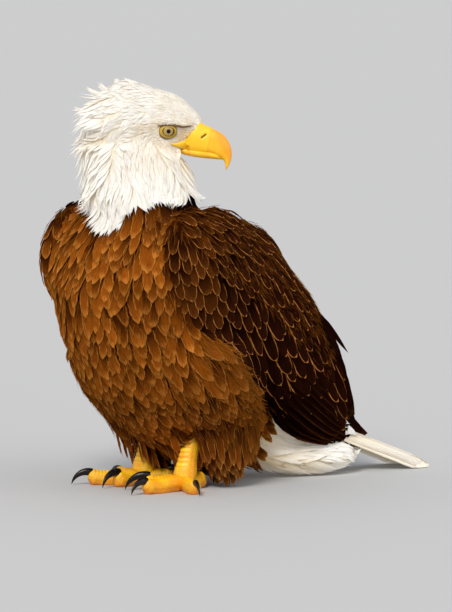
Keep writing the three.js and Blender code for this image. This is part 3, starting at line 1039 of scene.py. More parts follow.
# ---------------------------------------------------------------- wing coverts
# Rows of dark coverts with golden rims shingle the folded wing: scale-like at the wrist,
# larger towards the flight feathers that they cover.
WING_LIE = lie_from([
    (118, -105, 330, 0, 0.15, -0.97), (125, -95, 270, 0, 0.3, -0.95),
    (130, -40, 240, 0, 0.45, -0.88), (125, -40, 350, 0, 0.6, -0.8),
    (130, 40, 280, 0, 0.56, -0.83), (115, 60, 180, 0, 0.62, -0.78),
    (60, 60, 350, 0, 0.66, -0.75), (90, 130, 260, 0, 0.64, -0.77),
    (95, 170, 150, 0, 0.68, -0.73), (60, 220, 190, 0, 0.65, -0.76),
])
FLIGHT_WAY = np.array([[0.84, -0.54], [0.54, 0.84]])
# Where the last coverts root: heights across the folded wing, and how far along it.
COVERT_END = ([150, 190, 220, 245, 265, 300, 330], [75, 118, 146, 150, 120, 110, 130])


def wing_growth(points):
    """0 at the wrist, 1 among the greatest coverts."""
    local = in_body(points)
    return ramp(0.78 * local[:, 1] + 0.62 * (330 - local[:, 2]), -80, 170)


def folded(points):
    """Along and across the folded wing, in millimetres."""
    return in_body(points)[:, 1:] @ FLIGHT_WAY.T


def at_ridge(points):
    """1 on the wing's upper, rear edge."""
    return ramp(folded(points)[:, 1], 258, 292) * ramp(folded(points)[:, 0], -80, 0)


def covert_dark(points):
    """The foremost coverts are golden, most of all on the right wing, which meets the breast."""
    ahead = -in_body(points)[:, 1]
    right = points[:, 0] < stand[0]
    left = points[:, 0] > stand[0]
    return 1 - 0.75 * ramp(ahead, 62, 92) * right - 0.22 * ramp(ahead, 20, 80) * left


along_wing, across_wing = folded(centres).T
outside = triangle_normal[:, 0] * np.sign(centres[:, 0] - stand[0]) > -0.25
for wing in ("left", "right"):
    is_wing = part_is(f"wing_{wing}_coverts", f"wing_{wing}_secondaries")
    is_wing |= part_is(f"thigh_{wing}") & (past_flank > -3)
    grow(
        f"coat_wing_{wing}", "covert_feathers",
        is_wing & (along_wing < np.interp(across_wing, *COVERT_END)) & outside & (over_cape < 14),
        WING_LIE,
        {
            "dark": covert_dark,
            "rim": lambda p: 1.0 - 0.6 * ramp(folded(p)[:, 0], 85, 140),
            "stain": lambda p: 0.1 + 0.5 * ramp(wing_growth(p), 0.45, 0.9),
        },
        seed=16,
        gap=lambda p: 8.2 + 5.8 * wing_growth(p) - 2.0 * at_ridge(p),
        length=lambda p: 30 + 44 * wing_growth(p) - 14 * at_ridge(p),
        width=lambda p: 13.5 + 8 * wing_growth(p) - 3 * at_ridge(p),
        even=10, rise=(0.8, 4.2), lift=0.3,
        perch=lambda p: 4.5 * ramp(folded(p)[:, 0], 70, 120) - 2.0 * at_ridge(p),
        cling=0.9, swing=5, fray=0.02, bow=0.12, outline=tile,
    )
    grow(
        f"wisps_wing_{wing}", "covert_feathers",
        part_is(f"wing_{wing}_coverts") & (across_wing > 238) & (over_cape < 6),
        WING_LIE, {"dark": 0.62, "rim": 0.2}, seed=34, gap=6.5, length=17,
        shown=0.5, rise=(3.2, 5.4), cling=0.9, swing=14, **{**WISPS, "width": 1.3},
    )

# ---------------------------------------------------------------- tail coverts
# Soft white feathers, washed with yellow at their roots, puff out above and below the tail
# and hide where its twelve feathers leave the body. Nearer the body their buff is partly painted
# shade.
TAIL_WAY = unit(np.array([0.34, 0.93, -0.15]))
TAIL_LIE = lie_from([
    (10, 180, 160, 0.34, 0.8, -0.5), (30, 300, 90, 0.34, 0.8, -0.5),
    (20, 170, 60, 0.3, 0.86, -0.4), (60, 260, 50, 0.34, 0.86, -0.36),
    (50, 280, 10, 0.34, 0.93, -0.1),
])


def puff_end(points):
    """1 at the rear of the tail's coverts, where they fan out."""
    return ramp(in_body(points)[:, 1], 235, 290)


# Yellow-buff at the front, under the body: partly real stain, partly painted shade.
def puff_stain(points):
    local = in_body(points)
    return 0.4 * (1 - ramp(local[:, 1] + 0.5 * local[:, 2], 190, 245))


grow(
    "coat_tail", "white_feathers",
    part_is("tail_coverts_over", "tail_coverts_under") & (triangle_normal @ TAIL_WAY < 0.45),
    TAIL_LIE, {"white": 1, "stain": puff_stain}, seed=17,
    gap=7.0, stretch=2.2, length=lambda p: 58 - 12 * puff_end(p), width=12.5,
    even=4, tuft=5, rows=9, rise=(1.5, 5.5), lift=lambda p: 0.8 + 6.0 * puff_end(p),
    cling=lambda p: 0.6 - 0.5 * puff_end(p), fray=0.08,
)

# ---------------------------------------------------------------- flight feathers
# Long, stiff vanes lie stacked in the folded wing: primaries lowest, secondaries over them
# and the tertials on top, each stepping over the next. Only their edges and tips show.


def solid_tree(*nodes):
    bm = bmesh.new()
    for node in nodes:
        bm.from_mesh(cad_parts[node].data)
    tree = BVHTree.FromBMesh(bm)
    bm.free()
    return tree


BESIDE_WING = 260.0  # well outside the folded wing
WING_MIDDLE = 60.0  # where its inner face is looked for past its edges


def wing_face(tree, side, rows, outer):
    """Places on a wing's outer or inner face, told along and across the folded wing."""
    start = BESIDE_WING if outer else 0.0
    way = Vector((-side if outer else side, 0, 0))
    found = []
    for y, z in np.asarray(rows, float) @ FLIGHT_WAY:
        hit = tree.ray_cast(Vector(from_body((side * start, y, z))), way)[0]
        if hit is None:
            near_by = tree.find_nearest(Vector(from_body((side * WING_MIDDLE, y, z))))[0]
            hit = Vector((near_by.x, *from_body((0, y, z))[1:]))
        found.append(hit)
    return np.array(found)


def drawn_out(rows, number):
    """Points along a told curve, spaced as a feather's stations are."""
    rows = np.asarray(rows, float)
    share = np.concatenate([[0], np.cumsum(np.linalg.norm(np.diff(rows, axis=0), axis=1))])
    share /= share[-1]
    curve = np.polynomial.Polynomial
    fits = [curve.fit(share, column, min(3, len(rows) - 1)) for column in rows.T]
    return np.stack([fit(stations(number)) for fit in fits], axis=1)


def square_to(spine, way):
    """A way at each station of a spine, turned square to the spine."""
    ahead = unit(np.gradient(spine, axis=0))
    return unit(way - ahead * (ahead @ way)[:, None])


# Along and across the wing: where each feather leaves the coverts, bends and ends; half its
# width; how far it stands off the wing's face.
PRIMARIES = [
    ([(30, 166), (110, 158), (172, 175), (226, 206)], 11, -2.6),
    ([(30, 172), (115, 166), (182, 184), (241, 213)], 11.5, -2.4),
    ([(30, 178), (120, 174), (195, 192), (264, 220)], 12, -2.2),
    ([(30, 184), (125, 182), (205, 199), (282, 225)], 12.5, -2.0),
    ([(30, 190), (130, 190), (215, 206), (300, 230)], 13, -1.8),
    ([(30, 196), (135, 197), (215, 214), (296, 235)], 13, -1.6),
    ([(30, 202), (135, 205), (215, 222), (288, 240)], 13, -1.4),
]
SECONDARIES = [
    ([(0, 176 + 9 * step), (90, 176 + 9.5 * step), (150 + step, 182 + 9 * step),
      (206 + 2.6 * step, 197 + 6.3 * step)], 14.5, -1.3 + 0.25 * step)
    for step in range(8)
]
TERTIALS = [
    ([(20, 262), (100, 262), (170, 255), (232, 241)], 15, 0.8),
    ([(20, 272), (95, 272), (155, 264), (215, 250)], 15, 1.1),
    ([(20, 284), (80, 284), (135, 275), (190, 261)], 15, 1.4),
    ([(10, 296), (70, 295), (115, 286), (160, 271)], 15, 1.7),
]
QUILL_ROWS = 14
SIDES = (("left", 1), ("right", -1))
PATCH_COLUMNS = 20  # the bake map holds the wing's feathers in two rows
QUILL_PATCH = (0.045, 0.48)
QUILL_LOOK = plumage("flight_feathers", vaned=True, shaft=0.36, deep=0.35)
v = stations(QUILL_ROWS)
quill_shape = 0.45 + 0.55 * ramp(v, 0, 0.2)
quill_shape = quill_shape * rounded(v, 0.78, 0.12)
sunk = np.interp(v, [0, 0.45, 0.75], [-10, -3.5, 0])
for wing, side in SIDES:
    tree = solid_tree(*[f"wing_{wing}_{part}" for part in ("coverts", "secondaries", "primaries")])
    spines, facings, halves = [], [], []
    for outer in (True, False):
        for rows, half, stand_off in PRIMARIES + SECONDARIES + TERTIALS:
            spine = wing_face(tree, side, drawn_out(rows, QUILL_ROWS), outer)
            eased(spine, 3)
            out = square_to(spine, (side if outer else -side, 0.15, 0.25 * outer))
            spine += out * (sunk + (stand_off if outer else -1 - stand_off * 0.4))[:, None] * MM
            spines.append(spine)
            facings.append(out)
            halves.append(half * quill_shape * MM)
    if side > 0:
        # One feather of the left wing has slipped and stands off its rear edge.
        spines.append(from_body([(78 - 4 * share, 235 + 62 * share, 222 - 56 * share) for share in v]))
        facings.append(np.tile(unit(np.array([0.8, -0.3, 0.5])), (QUILL_ROWS, 1)))
        halves.append(5.5 * lance(v) * MM)
    rng = np.random.default_rng(21)
    marks = plain_marks(len(spines), rng, dark=1.0, rim=0.03, stain=0.6)
    cell = np.arange(len(spines))
    column, row = cell % PATCH_COLUMNS, cell // PATCH_COLUMNS
    places = np.stack([(column + 0.5) / PATCH_COLUMNS, (row + 0.5) / 2], axis=1)
    quills = vanes(
        f"quills_{wing}", QUILL_LOOK, np.array(spines), np.array(facings), np.array(halves),
        marks, (places, QUILL_PATCH, 1), rng, columns=7, cup=0.1, bow=0.1, fray=0.015,
    )
    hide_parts(f"wing_{wing}_secondaries", f"wing_{wing}_primaries")

# ---------------------------------------------------------------- tail
# Twelve broad white feathers lie stacked in a slightly fanned, arched tail; the middle pair
# is on top, and the outer ones are stained at their edges.
TAIL_LENGTH = 275.0
TAIL_FEATHERS = 12
TAIL_HALF_WIDTH = 13.5
TAIL_PATCH = (0.078, 0.96)
ABOVE_TAIL = 400.0
TAIL_GAP = 2.5 * MM  # how near the ground its feathers' spines come
tree = solid_tree("tail")
tail_ahead = np.array([math.sin(TAIL_YAW), math.cos(TAIL_YAW)])
tail_side = np.array([math.cos(TAIL_YAW), -math.sin(TAIL_YAW)])
v = stations(16)
tail_shape = TAIL_HALF_WIDTH * ((0.6 + 0.4 * ramp(v, 0, 0.5)) * rounded(v, 0.86, 0.2)) * MM
spines, facings = [], []
cell = np.arange(TAIL_FEATHERS)
half_fan = (TAIL_FEATHERS - 1) / 2
from_middle = (cell - half_fan) / half_fan
for off in from_middle:
    reach_out = TAIL_LENGTH * (1 - 0.085 * abs(off) ** 1.6)
    sideways = off * (16 + 13 * ramp(v, 0, 0.9))
    spine = []
    for x, y in TAIL_ROOT + np.outer(v * reach_out, tail_ahead) + np.outer(sideways, tail_side):
        hit = tree.ray_cast(Vector(from_body((x, y, ABOVE_TAIL))), Vector((0, 0, -1)))[0]
        spine.append(hit or tree.find_nearest(Vector(from_body((x, y, 0.0))))[0])
    spine = np.array(spine)
    eased(spine, 4)
    out = square_to(spine, np.array([0.0, 0.0, 1.0]) + 0.85 * off * np.array([*tail_side, 0.0]))
    spine += out * (0.2 - 0.7 * abs(off * half_fan)) * MM
    spine[:, 2] = np.maximum(spine[:, 2], TAIL_GAP)
    spines.append(spine)
    facings.append(out)
rng = np.random.default_rng(22)
marks = plain_marks(TAIL_FEATHERS, rng, white=1.0, dark=1.0, rim=0.9)
marks["stain"] = 0.05 + 0.45 * (np.abs(from_middle) > 0.7)
places = np.stack([(cell + 0.5) / TAIL_FEATHERS, np.full(TAIL_FEATHERS, 0.5)], axis=1)
tail = vanes(
    "tail_feathers", plumage("tail_feathers", vaned=True, shaft=0.42), np.array(spines),
    np.array(facings), np.tile(tail_shape, (TAIL_FEATHERS, 1)), marks,
    (places, TAIL_PATCH, 1), rng, columns=7, cup=0.08, bow=0.06, fray=0.02,
)
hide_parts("tail")

# ---------------------------------------------------------------- bill
# The bill is horn over bone: a deep, hooked upper half that closes over a slimmer lower one.
# A band of bare skin, the cere, crosses its base and carries the slanted nostrils.


def turn_outwards(bm):
    """Turns all faces outwards, once the moved vertices have given them new normals."""
    bm.normal_update()
    bmesh.ops.recalc_face_normals(bm, faces=bm.faces)


def wrapped(name, rings, place):
    """A closed form: a sphere whose places, told along and around it, are moved to new ones."""
    bm = bmesh.new()
    bmesh.ops.create_uvsphere(bm, u_segments=rings[0], v_segments=rings[1], radius=1)
    for vertex in bm.verts:
        share = math.acos(max(-1, min(1, vertex.co.z))) / math.pi
        vertex.co = Vector(place(share, math.atan2(vertex.co.y, vertex.co.x)))
    turn_outwards(bm)
    return new_piece(name, bm)


def drawn_form(name, rows, rings, round_by):
    """A form drawn out along told stations; each is a crest, a keel and half a width."""
    knots = np.linspace(0, 1, len(rows))

    def place(share, turned):
        share = 0.65 * share + 0.35 * (0.5 - 0.5 * math.cos(math.pi * share))
        at_share = [np.interp(share, knots, column) for column in np.array(rows, float).T]
        keel = np.array(at_share[2:4])
        up = 0.5 + 0.5 * math.cos(turned)
        wide = math.copysign(abs(math.sin(turned)) ** round_by, math.sin(turned)) * at_share[4]
        ahead, height = keel + (np.array(at_share[:2]) - keel) * up
        return from_head((ahead, wide, height))

    return wrapped(name, rings, place)


UPPER_BILL = [
    (50, 2, 46, -24, 2), (51, 3, 46, -25, 12), (62, 6, 56, -30.5, 15.5),
    (74, 8.2, 66, -33, 16.2), (80, 7.6, 74, -34.3, 16), (86, 4.6, 81, -35, 14.8),
    (91.5, 2.0, 87, -35.4, 13.6), (97.2, 0.1, 92, -35.8, 12.6),
    (104.3, -2.7, 97.5, -36.6, 11.4), (111.0, -6.6, 102.5, -37.6, 10.2),
    (117.0, -12.0, 107, -38.8, 8.9), (121.4, -18.4, 111, -40.2, 7.6),
    (124.2, -25.8, 114.2, -42, 6.3), (125.4, -33.4, 116, -44.6, 5.0),
    (124.8, -41.0, 117, -47.6, 3.7), (122.2, -48.8, 117.4, -51.6, 2.2),
    (119.0, -54.6, 117.8, -55.2, 0.5),
]
LOWER_BILL = [
    (50, -22, 50, -28, 3), (52, -22, 52, -33, 11), (62, -25, 62, -37.0, 13.2),
    (74, -27, 74, -39.2, 13.0), (86, -28, 86, -40.2, 11.4), (97, -30, 97, -40.6, 9.2),
    (107, -33, 107, -41.2, 6.4), (113, -37.5, 113, -41.2, 1),
]
NOSTRIL_START, NOSTRIL_WAY = np.array([85.2, -12.4]), np.array([5.4, 4.6])


def from_nostril(local):
    """Distance from the middle line of the nearer nostril's slit, in millimetres."""
    flat = local[:, [0, 2]] - NOSTRIL_START
    share = np.clip(flat @ NOSTRIL_WAY / (NOSTRIL_WAY @ NOSTRIL_WAY), 0, 1)
    return np.linalg.norm(flat - share[:, None] * NOSTRIL_WAY, axis=1)


def places_of(piece):
    return read(piece.data.vertices, "co", 3)


def set_places(piece, points):
    piece.data.vertices.foreach_set("co", points.ravel())
    piece.data.update()


def push_out(piece, by):
    """Moves a piece's vertices along their normals, in millimetres."""
    set_places(piece, places_of(piece) + normals_of(piece.data) * by[:, None] * MM)


def dress(piece, material):
    """Shades a piece smoothly and gives it its material."""
    piece.data.polygons.foreach_set("use_smooth", np.ones(len(piece.data.polygons), bool))
    piece.data.materials.append(material)


ROLL_RINGS = (24, 44)


def lying(name, rows, off, thick, wide):
    """A slim closed roll that lies on the skin along told places in the head's frame.

    off: how far it stands off; thick: half its height; wide: half widths along it."""
    share = np.linspace(0, 1, 30)
    knots = np.linspace(0, 1, len(rows))
    told = [np.interp(share, knots, column) for column in np.array(rows, float).T]
    places, normals, _ = on_skin(from_head(np.stack(told, axis=1)))
    eased(places, 3)
    eased(normals, 3)
    normals = unit(normals)
    across = unit(np.cross(unit(np.gradient(places, axis=0)), normals))
    fields = np.concatenate([places, normals, across], axis=1).T

    def place(along, around):
        full = math.sqrt(math.sin(math.pi * along)) * MM
        wider = float(np.interp(along, np.linspace(0, 1, len(wide)), wide))
        at_share = np.array([np.interp(along, share, column) for column in fields])
        out = off * MM + thick * math.cos(around) * full
        return at_share[:3] + at_share[3:6] * out + at_share[6:] * wider * math.sin(around) * full

    return wrapped(name, ROLL_RINGS, place)


horn_look = Look("bill_horn", Roughness=0.34, Coat_Weight=0.25, Coat_Roughness=0.2)
where = horn_look.place()
cere, slit, hook = [horn_look.attribute(mark) for mark in ("cere", "nostril", "culmen")]
cloud = horn_look.noise(where, 90.0)
growth = horn_look.noise(where, 420.0, 2.0)
horn = horn_look.mix(cloud.between(0.3, 0.7), (0.93, 0.42, 0.004), (0.95, 0.52, 0.012))
horn = horn_look.mix(hook.between(0.1, 0.9) * 0.75, horn, (0.93, 0.31, 0.003))
horn = horn_look.mix(cere * 0.75, horn, (0.96, 0.56, 0.006))
# Painted shade: near black inside the nostrils' slits, and along the mouth's crease on the gape.
horn = horn_look.mix(1 - slit.between(0.5, 1.5), horn, (0.10, 0.03, 0.002))
horn_look.show("Base Color", horn)
horn_look.show("Roughness", cloud * 0.16 + cere * 0.12 + 0.26)
horn_look.relief(growth * 0.35 + cloud * 0.5, distance=0.35, strength=0.35)

upper_bill = drawn_form("upper_bill", UPPER_BILL, rings=(96, 170), round_by=0.72)
local = in_head(places_of(upper_bill))
ahead, side, height = local.T
# The cere ends at a slightly bowed line, and the bill's cutting edge is drawn in a little.
cere_line = 95.5 + 0.12 * (height + 12) - 0.004 * (height + 12) ** 2
on_cere = 1 - ramp(ahead - cere_line, -0.7, 0.7)
slit = from_nostril(local)
tomium = np.exp(-((height + 31.5 + 0.045 * (ahead - 60)) ** 2) / 3.0)
push = 0.55 * on_cere - 2.6 * np.exp(-((slit / 1.3) ** 2)) * (np.abs(side) > 4)
push += 0.35 * np.exp(-(((slit - 3.2) / 1.4) ** 2)) * on_cere
push -= 0.45 * tomium * (ahead < 104)
push_out(upper_bill, push)
keep_mark(upper_bill.data, "cere", on_cere)
keep_mark(upper_bill.data, "nostril", slit)
keep_mark(upper_bill.data, "culmen", ramp(ahead + 0.55 * height, 88, 108))
dress(upper_bill, horn_look.material)
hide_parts("bill_upper")
lower_bill = drawn_form("lower_bill", LOWER_BILL, rings=(48, 60), round_by=0.8)
keep_mark(lower_bill.data, "nostril", from_nostril(in_head(places_of(lower_bill))) + 10)
dress(lower_bill, horn_look.material)
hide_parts("bill_lower")

# The gape: a soft yellow roll from the corner of the mouth to under the eye.
MOUTH = [(43, -21.0), (56, -24.4), (68, -26.0), (82, -25.0)]
for which, sign in SIDES:
    rows = [(ahead, sign * (39 - 0.31 * ahead), height) for ahead, height in MOUTH]
    lip = lying(f"gape_{which}", rows, off=1.2, thick=2.0, wide=(1.2, 3.9, 9.0, 14.0))
    local = in_head(places_of(lip))
    # The mark draws a line of painted shade along the crease of the mouth.
    line = -21.0 - 0.42 * (local[:, 0] - 43)
    keep_mark(lip.data, "nostril", 0.9 + np.abs(local[:, 2] - line) * 0.7)
    keep_mark(lip.data, "cere", np.ones(len(local)))
    dress(lip, horn_look.material)

# ---------------------------------------------------------------- eyes
# Glass eyes, pale yellow with a black pupil, sit in ringed lids of bare yellow skin under
# the shelf of the brow.
EYEBALL = 11.2
LID_RADIUS, LID_OUT = 9.5, 6.9  # the lid's ring: how far round the gaze, and how far along it
# Where the pupil ends, the iris turns yellower and its dark rim starts, off the gaze's line.
PUPIL_END, YELLOW_FROM, RIM_FROM = (2.6, 3.0), (3.4, 5.6), (6.2, 7.6)
eye_look = Look(
    "eye", Roughness=0.12, Specular_IOR_Level=0.12, Coat_Weight=0.15, Coat_Roughness=0.02
)
off = eye_look.attribute("off_pupil")
fleck = eye_look.noise(eye_look.place(), 900.0)
iris = eye_look.mix(fleck.between(0.35, 0.7), (0.24, 0.16, 0.07), (0.42, 0.32, 0.17))
iris = eye_look.mix(off.between(*YELLOW_FROM), iris, (0.45, 0.28, 0.06))
iris = eye_look.mix(off.between(*RIM_FROM), iris, (0.05, 0.025, 0.008))
iris = eye_look.mix(1 - off.between(*PUPIL_END), iris, (0.002, 0.002, 0.002))
eye_look.show("Base Color", iris)
lid_look = Look("eyelid", Roughness=0.5)
grain = lid_look.node("ShaderNodeTexVoronoi", None, {"Vector": lid_look.place(), "Scale": 1100.0})
inner = lid_look.attribute("inner")
skin_tone = lid_look.mix(grain.between(0.0, 0.6), (0.30, 0.165, 0.015), (0.52, 0.34, 0.03))
skin_tone = lid_look.mix(inner, skin_tone, (0.035, 0.018, 0.006))
lid_look.show("Base Color", skin_tone)
lid_look.relief(grain, distance=0.3, strength=0.5)
# A dark brown roll lines the brow's lower edge, from behind the eye to the bill.
brow_look = Look("brow_line", Roughness=0.6)
grain = brow_look.noise(brow_look.place(), 500.0)
brow = brow_look.mix(grain.between(0.3, 0.7), (0.06, 0.024, 0.006), (0.22, 0.11, 0.022))
brow_look.show("Base Color", brow)
brow_look.relief(grain, distance=0.3, strength=0.5)
BROW = [(26, 36, 2), (36, 33, 5), (46, 29, 5.5), (60, 21, 4.0), (74, 16, 3.0)]
for which, sign in SIDES:
    rows = [(ahead, side * sign, height) for ahead, side, height in BROW]
    ridge = lying(f"brow_{which}", rows, off=1.0, thick=2.1, wide=(1.6, 2.6, 1.8, 1.3))
    dress(ridge, brow_look.material)

    gaze = unit(np.array([0.30, sign * 1.0, -0.03]))
    center = np.array([EYE_FORWARD, sign * EYE_SIDE, EYE_UP])
    turn = Vector((0, 0, 1)).rotation_difference(Vector(gaze)).to_matrix()
    bm = bmesh.new()
    bmesh.ops.create_uvsphere(bm, u_segments=40, v_segments=36, radius=EYEBALL)
    for vertex in bm.verts:
        vertex.co = Vector(from_head(np.array(turn @ vertex.co) + center))
    turn_outwards(bm)
    eye = new_piece(f"eyeball_{which}", bm)
    local = in_head(places_of(eye)) - center
    off_axis = np.linalg.norm(local - np.outer(local @ gaze, gaze), axis=1)
    keep_mark(eye.data, "off_pupil", np.where(local @ gaze > 0, off_axis, 12))
    dress(eye, eye_look.material)
    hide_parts(f"eye_{which}")

    # The lid is a ring spun round the gaze, and then pressed lower, most of all above.
    bm = bmesh.new()
    bmesh.ops.create_circle(bm, segments=14, radius=1)
    for vertex in bm.verts:
        x, y, _ = vertex.co
        vertex.co = Vector((LID_RADIUS + 2.5 * x, 0, LID_OUT - 2.6 * x + 1.1 * y))
    bmesh.ops.spin(
        bm, geom=bm.verts[:] + bm.edges[:], cent=(0, 0, 0), axis=(0, 0, 1), angle=math.tau,
        steps=56, use_merge=True,
    )
    bmesh.ops.remove_doubles(bm, verts=bm.verts, dist=0.01)
    inner_share = []
    for vertex in bm.verts:
        off_middle = math.hypot(vertex.co.x, vertex.co.y)
        rolled = ramp(off_middle, 7.3, 8.4) * (1 - 0.7 * ramp(off_middle, 10.2, 11.6))
        inner_share.append(1 - float(rolled))
        offset = np.array(turn @ vertex.co)
        slant = offset[2] + 0.12 * offset[0]
        offset[2] -= 0.13 * slant + 0.9 * max(0.0, slant / 9) ** 2
        offset[0] *= 1.08
        vertex.co = Vector(from_head(offset + center))
    turn_outwards(bm)
    lid = new_piece(f"eyelid_{which}", bm)
    keep_mark(lid.data, "inner", inner_share)
    dress(lid, lid_look.material)

# ---------------------------------------------------------------- feet
# Bare shanks and toes are skin over bone and sinew: broad scutes cross the front of the
# shank and the tops of the toes, fine pebbled scales cover the rest.
TOES = ("inner", "middle", "outer", "hind")
FOOT_GRAIN = 1.1 * MM
SHANK_SCUTE, TOE_SCUTE = 6.4, 4.6
foot_look = Look("foot_scales", Roughness=0.48, Coat_Weight=0.1, Coat_Roughness=0.3)
where = foot_look.place()
scute, groove, underside_shade = [foot_look.attribute(mark) for mark in ("scute", "groove", "underside_shade")]
pebble = foot_look.node(
    "ShaderNodeTexVoronoi", {"feature": "DISTANCE_TO_EDGE"}, {"Vector": where, "Scale": 420.0}
)
cloud = foot_look.noise(where, 60.0)
seam = (1 - pebble.between(0.02, 0.16)) * (1 - scute)
hue = foot_look.mix(cloud.between(0.35, 0.65), (0.93, 0.42, 0.004), (0.96, 0.58, 0.010))
# Painted shade: the foot's undersides near the ground turn deeper orange.
hue = foot_look.mix(underside_shade, hue, (0.80, 0.22, 0.004))
hue = foot_look.mix(seam * 0.45, hue, (0.58, 0.16, 0.003))
hue = foot_look.mix(groove * 0.65, hue, (0.52, 0.13, 0.003))
foot_look.show("Base Color", hue)
pebbled = pebble.between(0.0, 0.25) * (1 - scute) + cloud * 0.3
foot_look.relief(pebbled, distance=0.6, strength=0.6)

for which in ("left", "right"):
    shank = f"tarsus_{which}"
    toes = [f"toe_{which}_{toe}" for toe in TOES]
    foot = grown_together(f"foot_{which}", [shank, *toes], FOOT_GRAIN)
    softened = foot.modifiers.new("softened", "SMOOTH")
    softened.factor = 0.5
    softened.iterations = 5
    settle(foot)
    points = places_of(foot)
    normals = normals_of(foot.data)
    local = in_body(points)
    hub = in_body(np.array(middle(shank)))[:2] - [0, ANKLE_LEAN]
    # Each place on the foot belongs to the toe whose line it lies nearest to.
    near_toe = np.full(len(points), 1e9)
    along_toe = np.zeros(len(points))
    for toe in toes:
        heart = in_body(np.array(middle(toe)))[:2]
        way = (heart - hub) / np.linalg.norm(heart - hub)
        flat = local[:, :2] - hub
        run = flat @ way
        miss = np.abs(flat @ np.array([-way[1], way[0]])) + 40 * (run < 0)
        closer = miss < near_toe
        near_toe = np.where(closer, miss, near_toe)
        along_toe = np.where(closer, run, along_toe)
    # Scutes cross the toes' tops and the shank's front, with a valley between each and the next.
    height = local[:, 2]
    top = ramp(normals[:, 2], 0.35, 0.8) * ramp(along_toe, 20, 34)
    front = ramp(-normals[:, 1], 0.35, 0.8) * ramp(height, 26, 36)
    phase = np.where(front > top, height / SHANK_SCUTE, along_toe / TOE_SCUTE)
    saw = phase - np.floor(phase)
    scutes = np.maximum(top, front)
    valley = np.exp(-((np.minimum(saw, 1 - saw) / 0.13) ** 2)) * scutes
    # The foot is fuller where the toes meet, and each toe swells into soft lobes below.
    flare = np.exp(-(((height - 22) / 13) ** 2)) * ramp(-along_toe, -34, -12)
    fuller = 1.2 + 2.6 * flare + 0.8 * ramp(height, 30, 60)
    toe_share = ramp(along_toe, 8, 26) * (1 - ramp(height, 26, 44))
    lobes = np.sin(along_toe / 5.5) * ramp(12 - height, 0, 10) * toe_share
    fuller += 1.1 * toe_share + 0.7 * lobes
    push_out(foot, fuller + 0.35 * scutes * np.sin(saw * math.pi) - 0.55 * valley)
    points = places_of(foot)
    points[:, 2] *= 1 + 0.16 * toe_share
    points[:, 2] = np.maximum(points[:, 2], 0.1 * MM)
    set_places(foot, points)
    keep_mark(foot.data, "scute", scutes)
    keep_mark(foot.data, "groove", valley)
    # Downward faces near the ground, for painted shade.
    keep_mark(foot.data, "underside_shade", ramp(-normals[:, 2], 0.0, 0.7) * ramp(30 - height, 0, 20))
    dress(foot, foot_look.material)
    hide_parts(shank, *toes)

# ---------------------------------------------------------------- claws
# Each toe ends in a glossy black claw of horn, strongly curved and sharp; it grows over the
# last bone of the toe, and the inner and hind ones are the largest.
CLAW_SWEEP = math.radians(100)
CLAW_RISE = math.radians(22)
FOOT_PLACES = [("left", 1, (45, -7.5), -2), ("right", -1, (-45, 7.5), 42)]
# How far from the hub of the foot, on what heading, across what chord, and half how thick.
CLAWS = {
    "inner": (50, 42, 38, 6.2), "middle": (72, 2, 33, 5.6), "outer": (56, -60, 29, 5.0),
    "hind": (38, 172, 40, 6.6),
}
claw_look = Look("claw_horn", Roughness=0.26, Specular_IOR_Level=0.22)
where = claw_look.place()
cloud = claw_look.noise(where, 160.0)
fibre = claw_look.noise(where, 700.0, 2.0)
black = claw_look.mix(cloud.between(0.35, 0.75), (0.004, 0.003, 0.003), (0.016, 0.011, 0.009))
claw_look.show("Base Color", black)
claw_look.relief(fibre, distance=0.12, strength=0.4)
for which, sign, hub, toe_out in FOOT_PLACES:
    for toe, (length, heading, chord, thick) in CLAWS.items():
        # The claw is an arc that leaves the toe upwards and comes down to the ground.
        bend = chord / (2 * math.sin(CLAW_SWEEP / 2))
        drop = bend * (math.cos(CLAW_RISE) - math.cos(CLAW_SWEEP - CLAW_RISE))
        turned = math.radians(sign * toe_out - sign * heading)

        def place(share, around):
            share = 0.5 * share + 0.25 - 0.25 * math.cos(math.pi * share)
            swept = share * CLAW_SWEEP - CLAW_RISE
            size = thick * (1 - 0.97 * share**1.6) * min(1, math.sqrt(share / 0.035))
            out = size * math.cos(around)
            ridge = size * 0.78 * math.sin(around)
            ahead = bend * (math.sin(swept) + math.sin(CLAW_RISE)) + out * math.sin(swept)
            height = drop + 1 + bend * (math.cos(swept) - math.cos(CLAW_RISE)) + out * math.cos(swept)
            run = -(length - 4 + ahead)
            x = ridge * math.cos(turned) - run * math.sin(turned)
            y = ridge * math.sin(turned) + run * math.cos(turned)
            return from_body((hub[0] + x, hub[1] + y, max(height, 0.2)))

        claw = wrapped(f"horn_{which}_{toe}", (20, 40), place)
        dress(claw, claw_look.material)
        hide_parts(f"claw_{which}_{toe}")

# ---------------------------------------------------------------- the skin's markings
# Where the skin shows between the feathers it looks like their down: each place on it has
# the root colours of the feather that roots nearest, which darken the gaps partly as painted shade.
nearest_root = tree_of(np.concatenate(coat_roots))
owner = [nearest_root.find(point)[1] for point in skin_points]
skin_marks = np.concatenate(coat_marks)[owner]
is_flight = np.array([part.endswith(("secondaries", "primaries")) for part in PARTS])
# Under the flight feathers the skin is dark brown: painted shade in the gaps between them.
skin_marks[is_flight[skin_part]] = (0, 1, 0, 0, 0.5)
for mark, values in zip(MARKS, skin_marks.T):
    keep_mark(skin.data, mark, values)
dress(skin, plumage("down", vaned=False))
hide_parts(*PARTS)

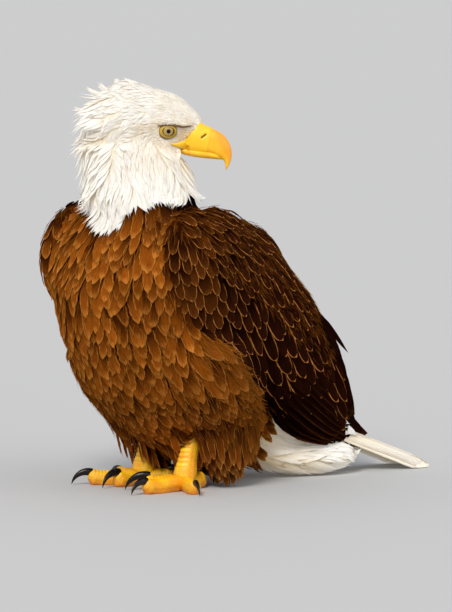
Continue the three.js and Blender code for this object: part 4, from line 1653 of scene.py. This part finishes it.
# ---------------------------------------------------------------- floor, light and camera
# The bird stands on a plain pale floor in a bright, even room, with one soft sun before it
# and a weak one at its side, and is seen from its left front.
FLOOR_RADIUS = 40
ROOM_LIGHT = 0.62
bm = bmesh.new()
bmesh.ops.create_circle(bm, cap_ends=True, radius=FLOOR_RADIUS, segments=64)
mesh = bpy.data.meshes.new("floor")
bm.to_mesh(mesh)
bm.free()
floor = bpy.data.objects.new("floor", mesh)
bpy.context.scene.collection.objects.link(floor)
mesh.materials.append(Look("floor", Roughness=0.8, Base_Color=(0.50, 0.51, 0.52, 1)).material)

world = bpy.data.worlds.new("studio")
bpy.context.scene.world = world
world.use_nodes = True
world.node_tree.nodes["Background"].inputs["Color"].default_value = (0.97, 0.97, 1.0, 1)
world.node_tree.nodes["Background"].inputs["Strength"].default_value = ROOM_LIGHT


def towards(azimuth, elevation):
    """The way from the bird to a light or a camera, told in degrees."""
    turned = math.radians(azimuth)
    raised = math.radians(elevation)
    flat = math.cos(raised)
    return Vector((math.sin(turned) * flat, -math.cos(turned) * flat, math.sin(raised)))


for name, azimuth, elevation, strength, spread, colour in (
    ("key", 26, 40, 2.5, 20, (1.0, 0.96, 0.9)),
    ("fill", 95, 25, 0.6, 70, (1.0, 0.98, 0.96)),
):
    lamp = bpy.data.lights.new(name, "SUN")
    lamp.energy = strength
    lamp.angle = math.radians(spread)
    lamp.color = colour
    holder = bpy.data.objects.new(name, lamp)
    holder.rotation_euler = towards(azimuth, elevation).to_track_quat("Z", "Y").to_euler()
    bpy.context.scene.collection.objects.link(holder)
bpy.context.scene.view_settings.view_transform = "Standard"

VIEW_AZIMUTH = 42
VIEW_ELEVATION = 5
VIEW_DISTANCE = 8.0
AIM_RIGHT, AIM_UP = 0.085, 0.246
turned = math.radians(VIEW_AZIMUTH)
rightward = Vector((math.cos(turned), math.sin(turned), 0))
aim = Vector(stand) + rightward * AIM_RIGHT + Vector((0, 0, AIM_UP))
camera_data = bpy.data.cameras.new("camera")
camera_data.lens = 348.6
camera_data.sensor_width = 36
camera_data.clip_end = 200
camera = bpy.data.objects.new("camera", camera_data)
back = towards(VIEW_AZIMUTH, VIEW_ELEVATION)
camera.location = aim + back * VIEW_DISTANCE
camera.rotation_euler = back.to_track_quat("Z", "Y").to_euler()
bpy.context.scene.collection.objects.link(camera)
bpy.context.scene.camera = camera
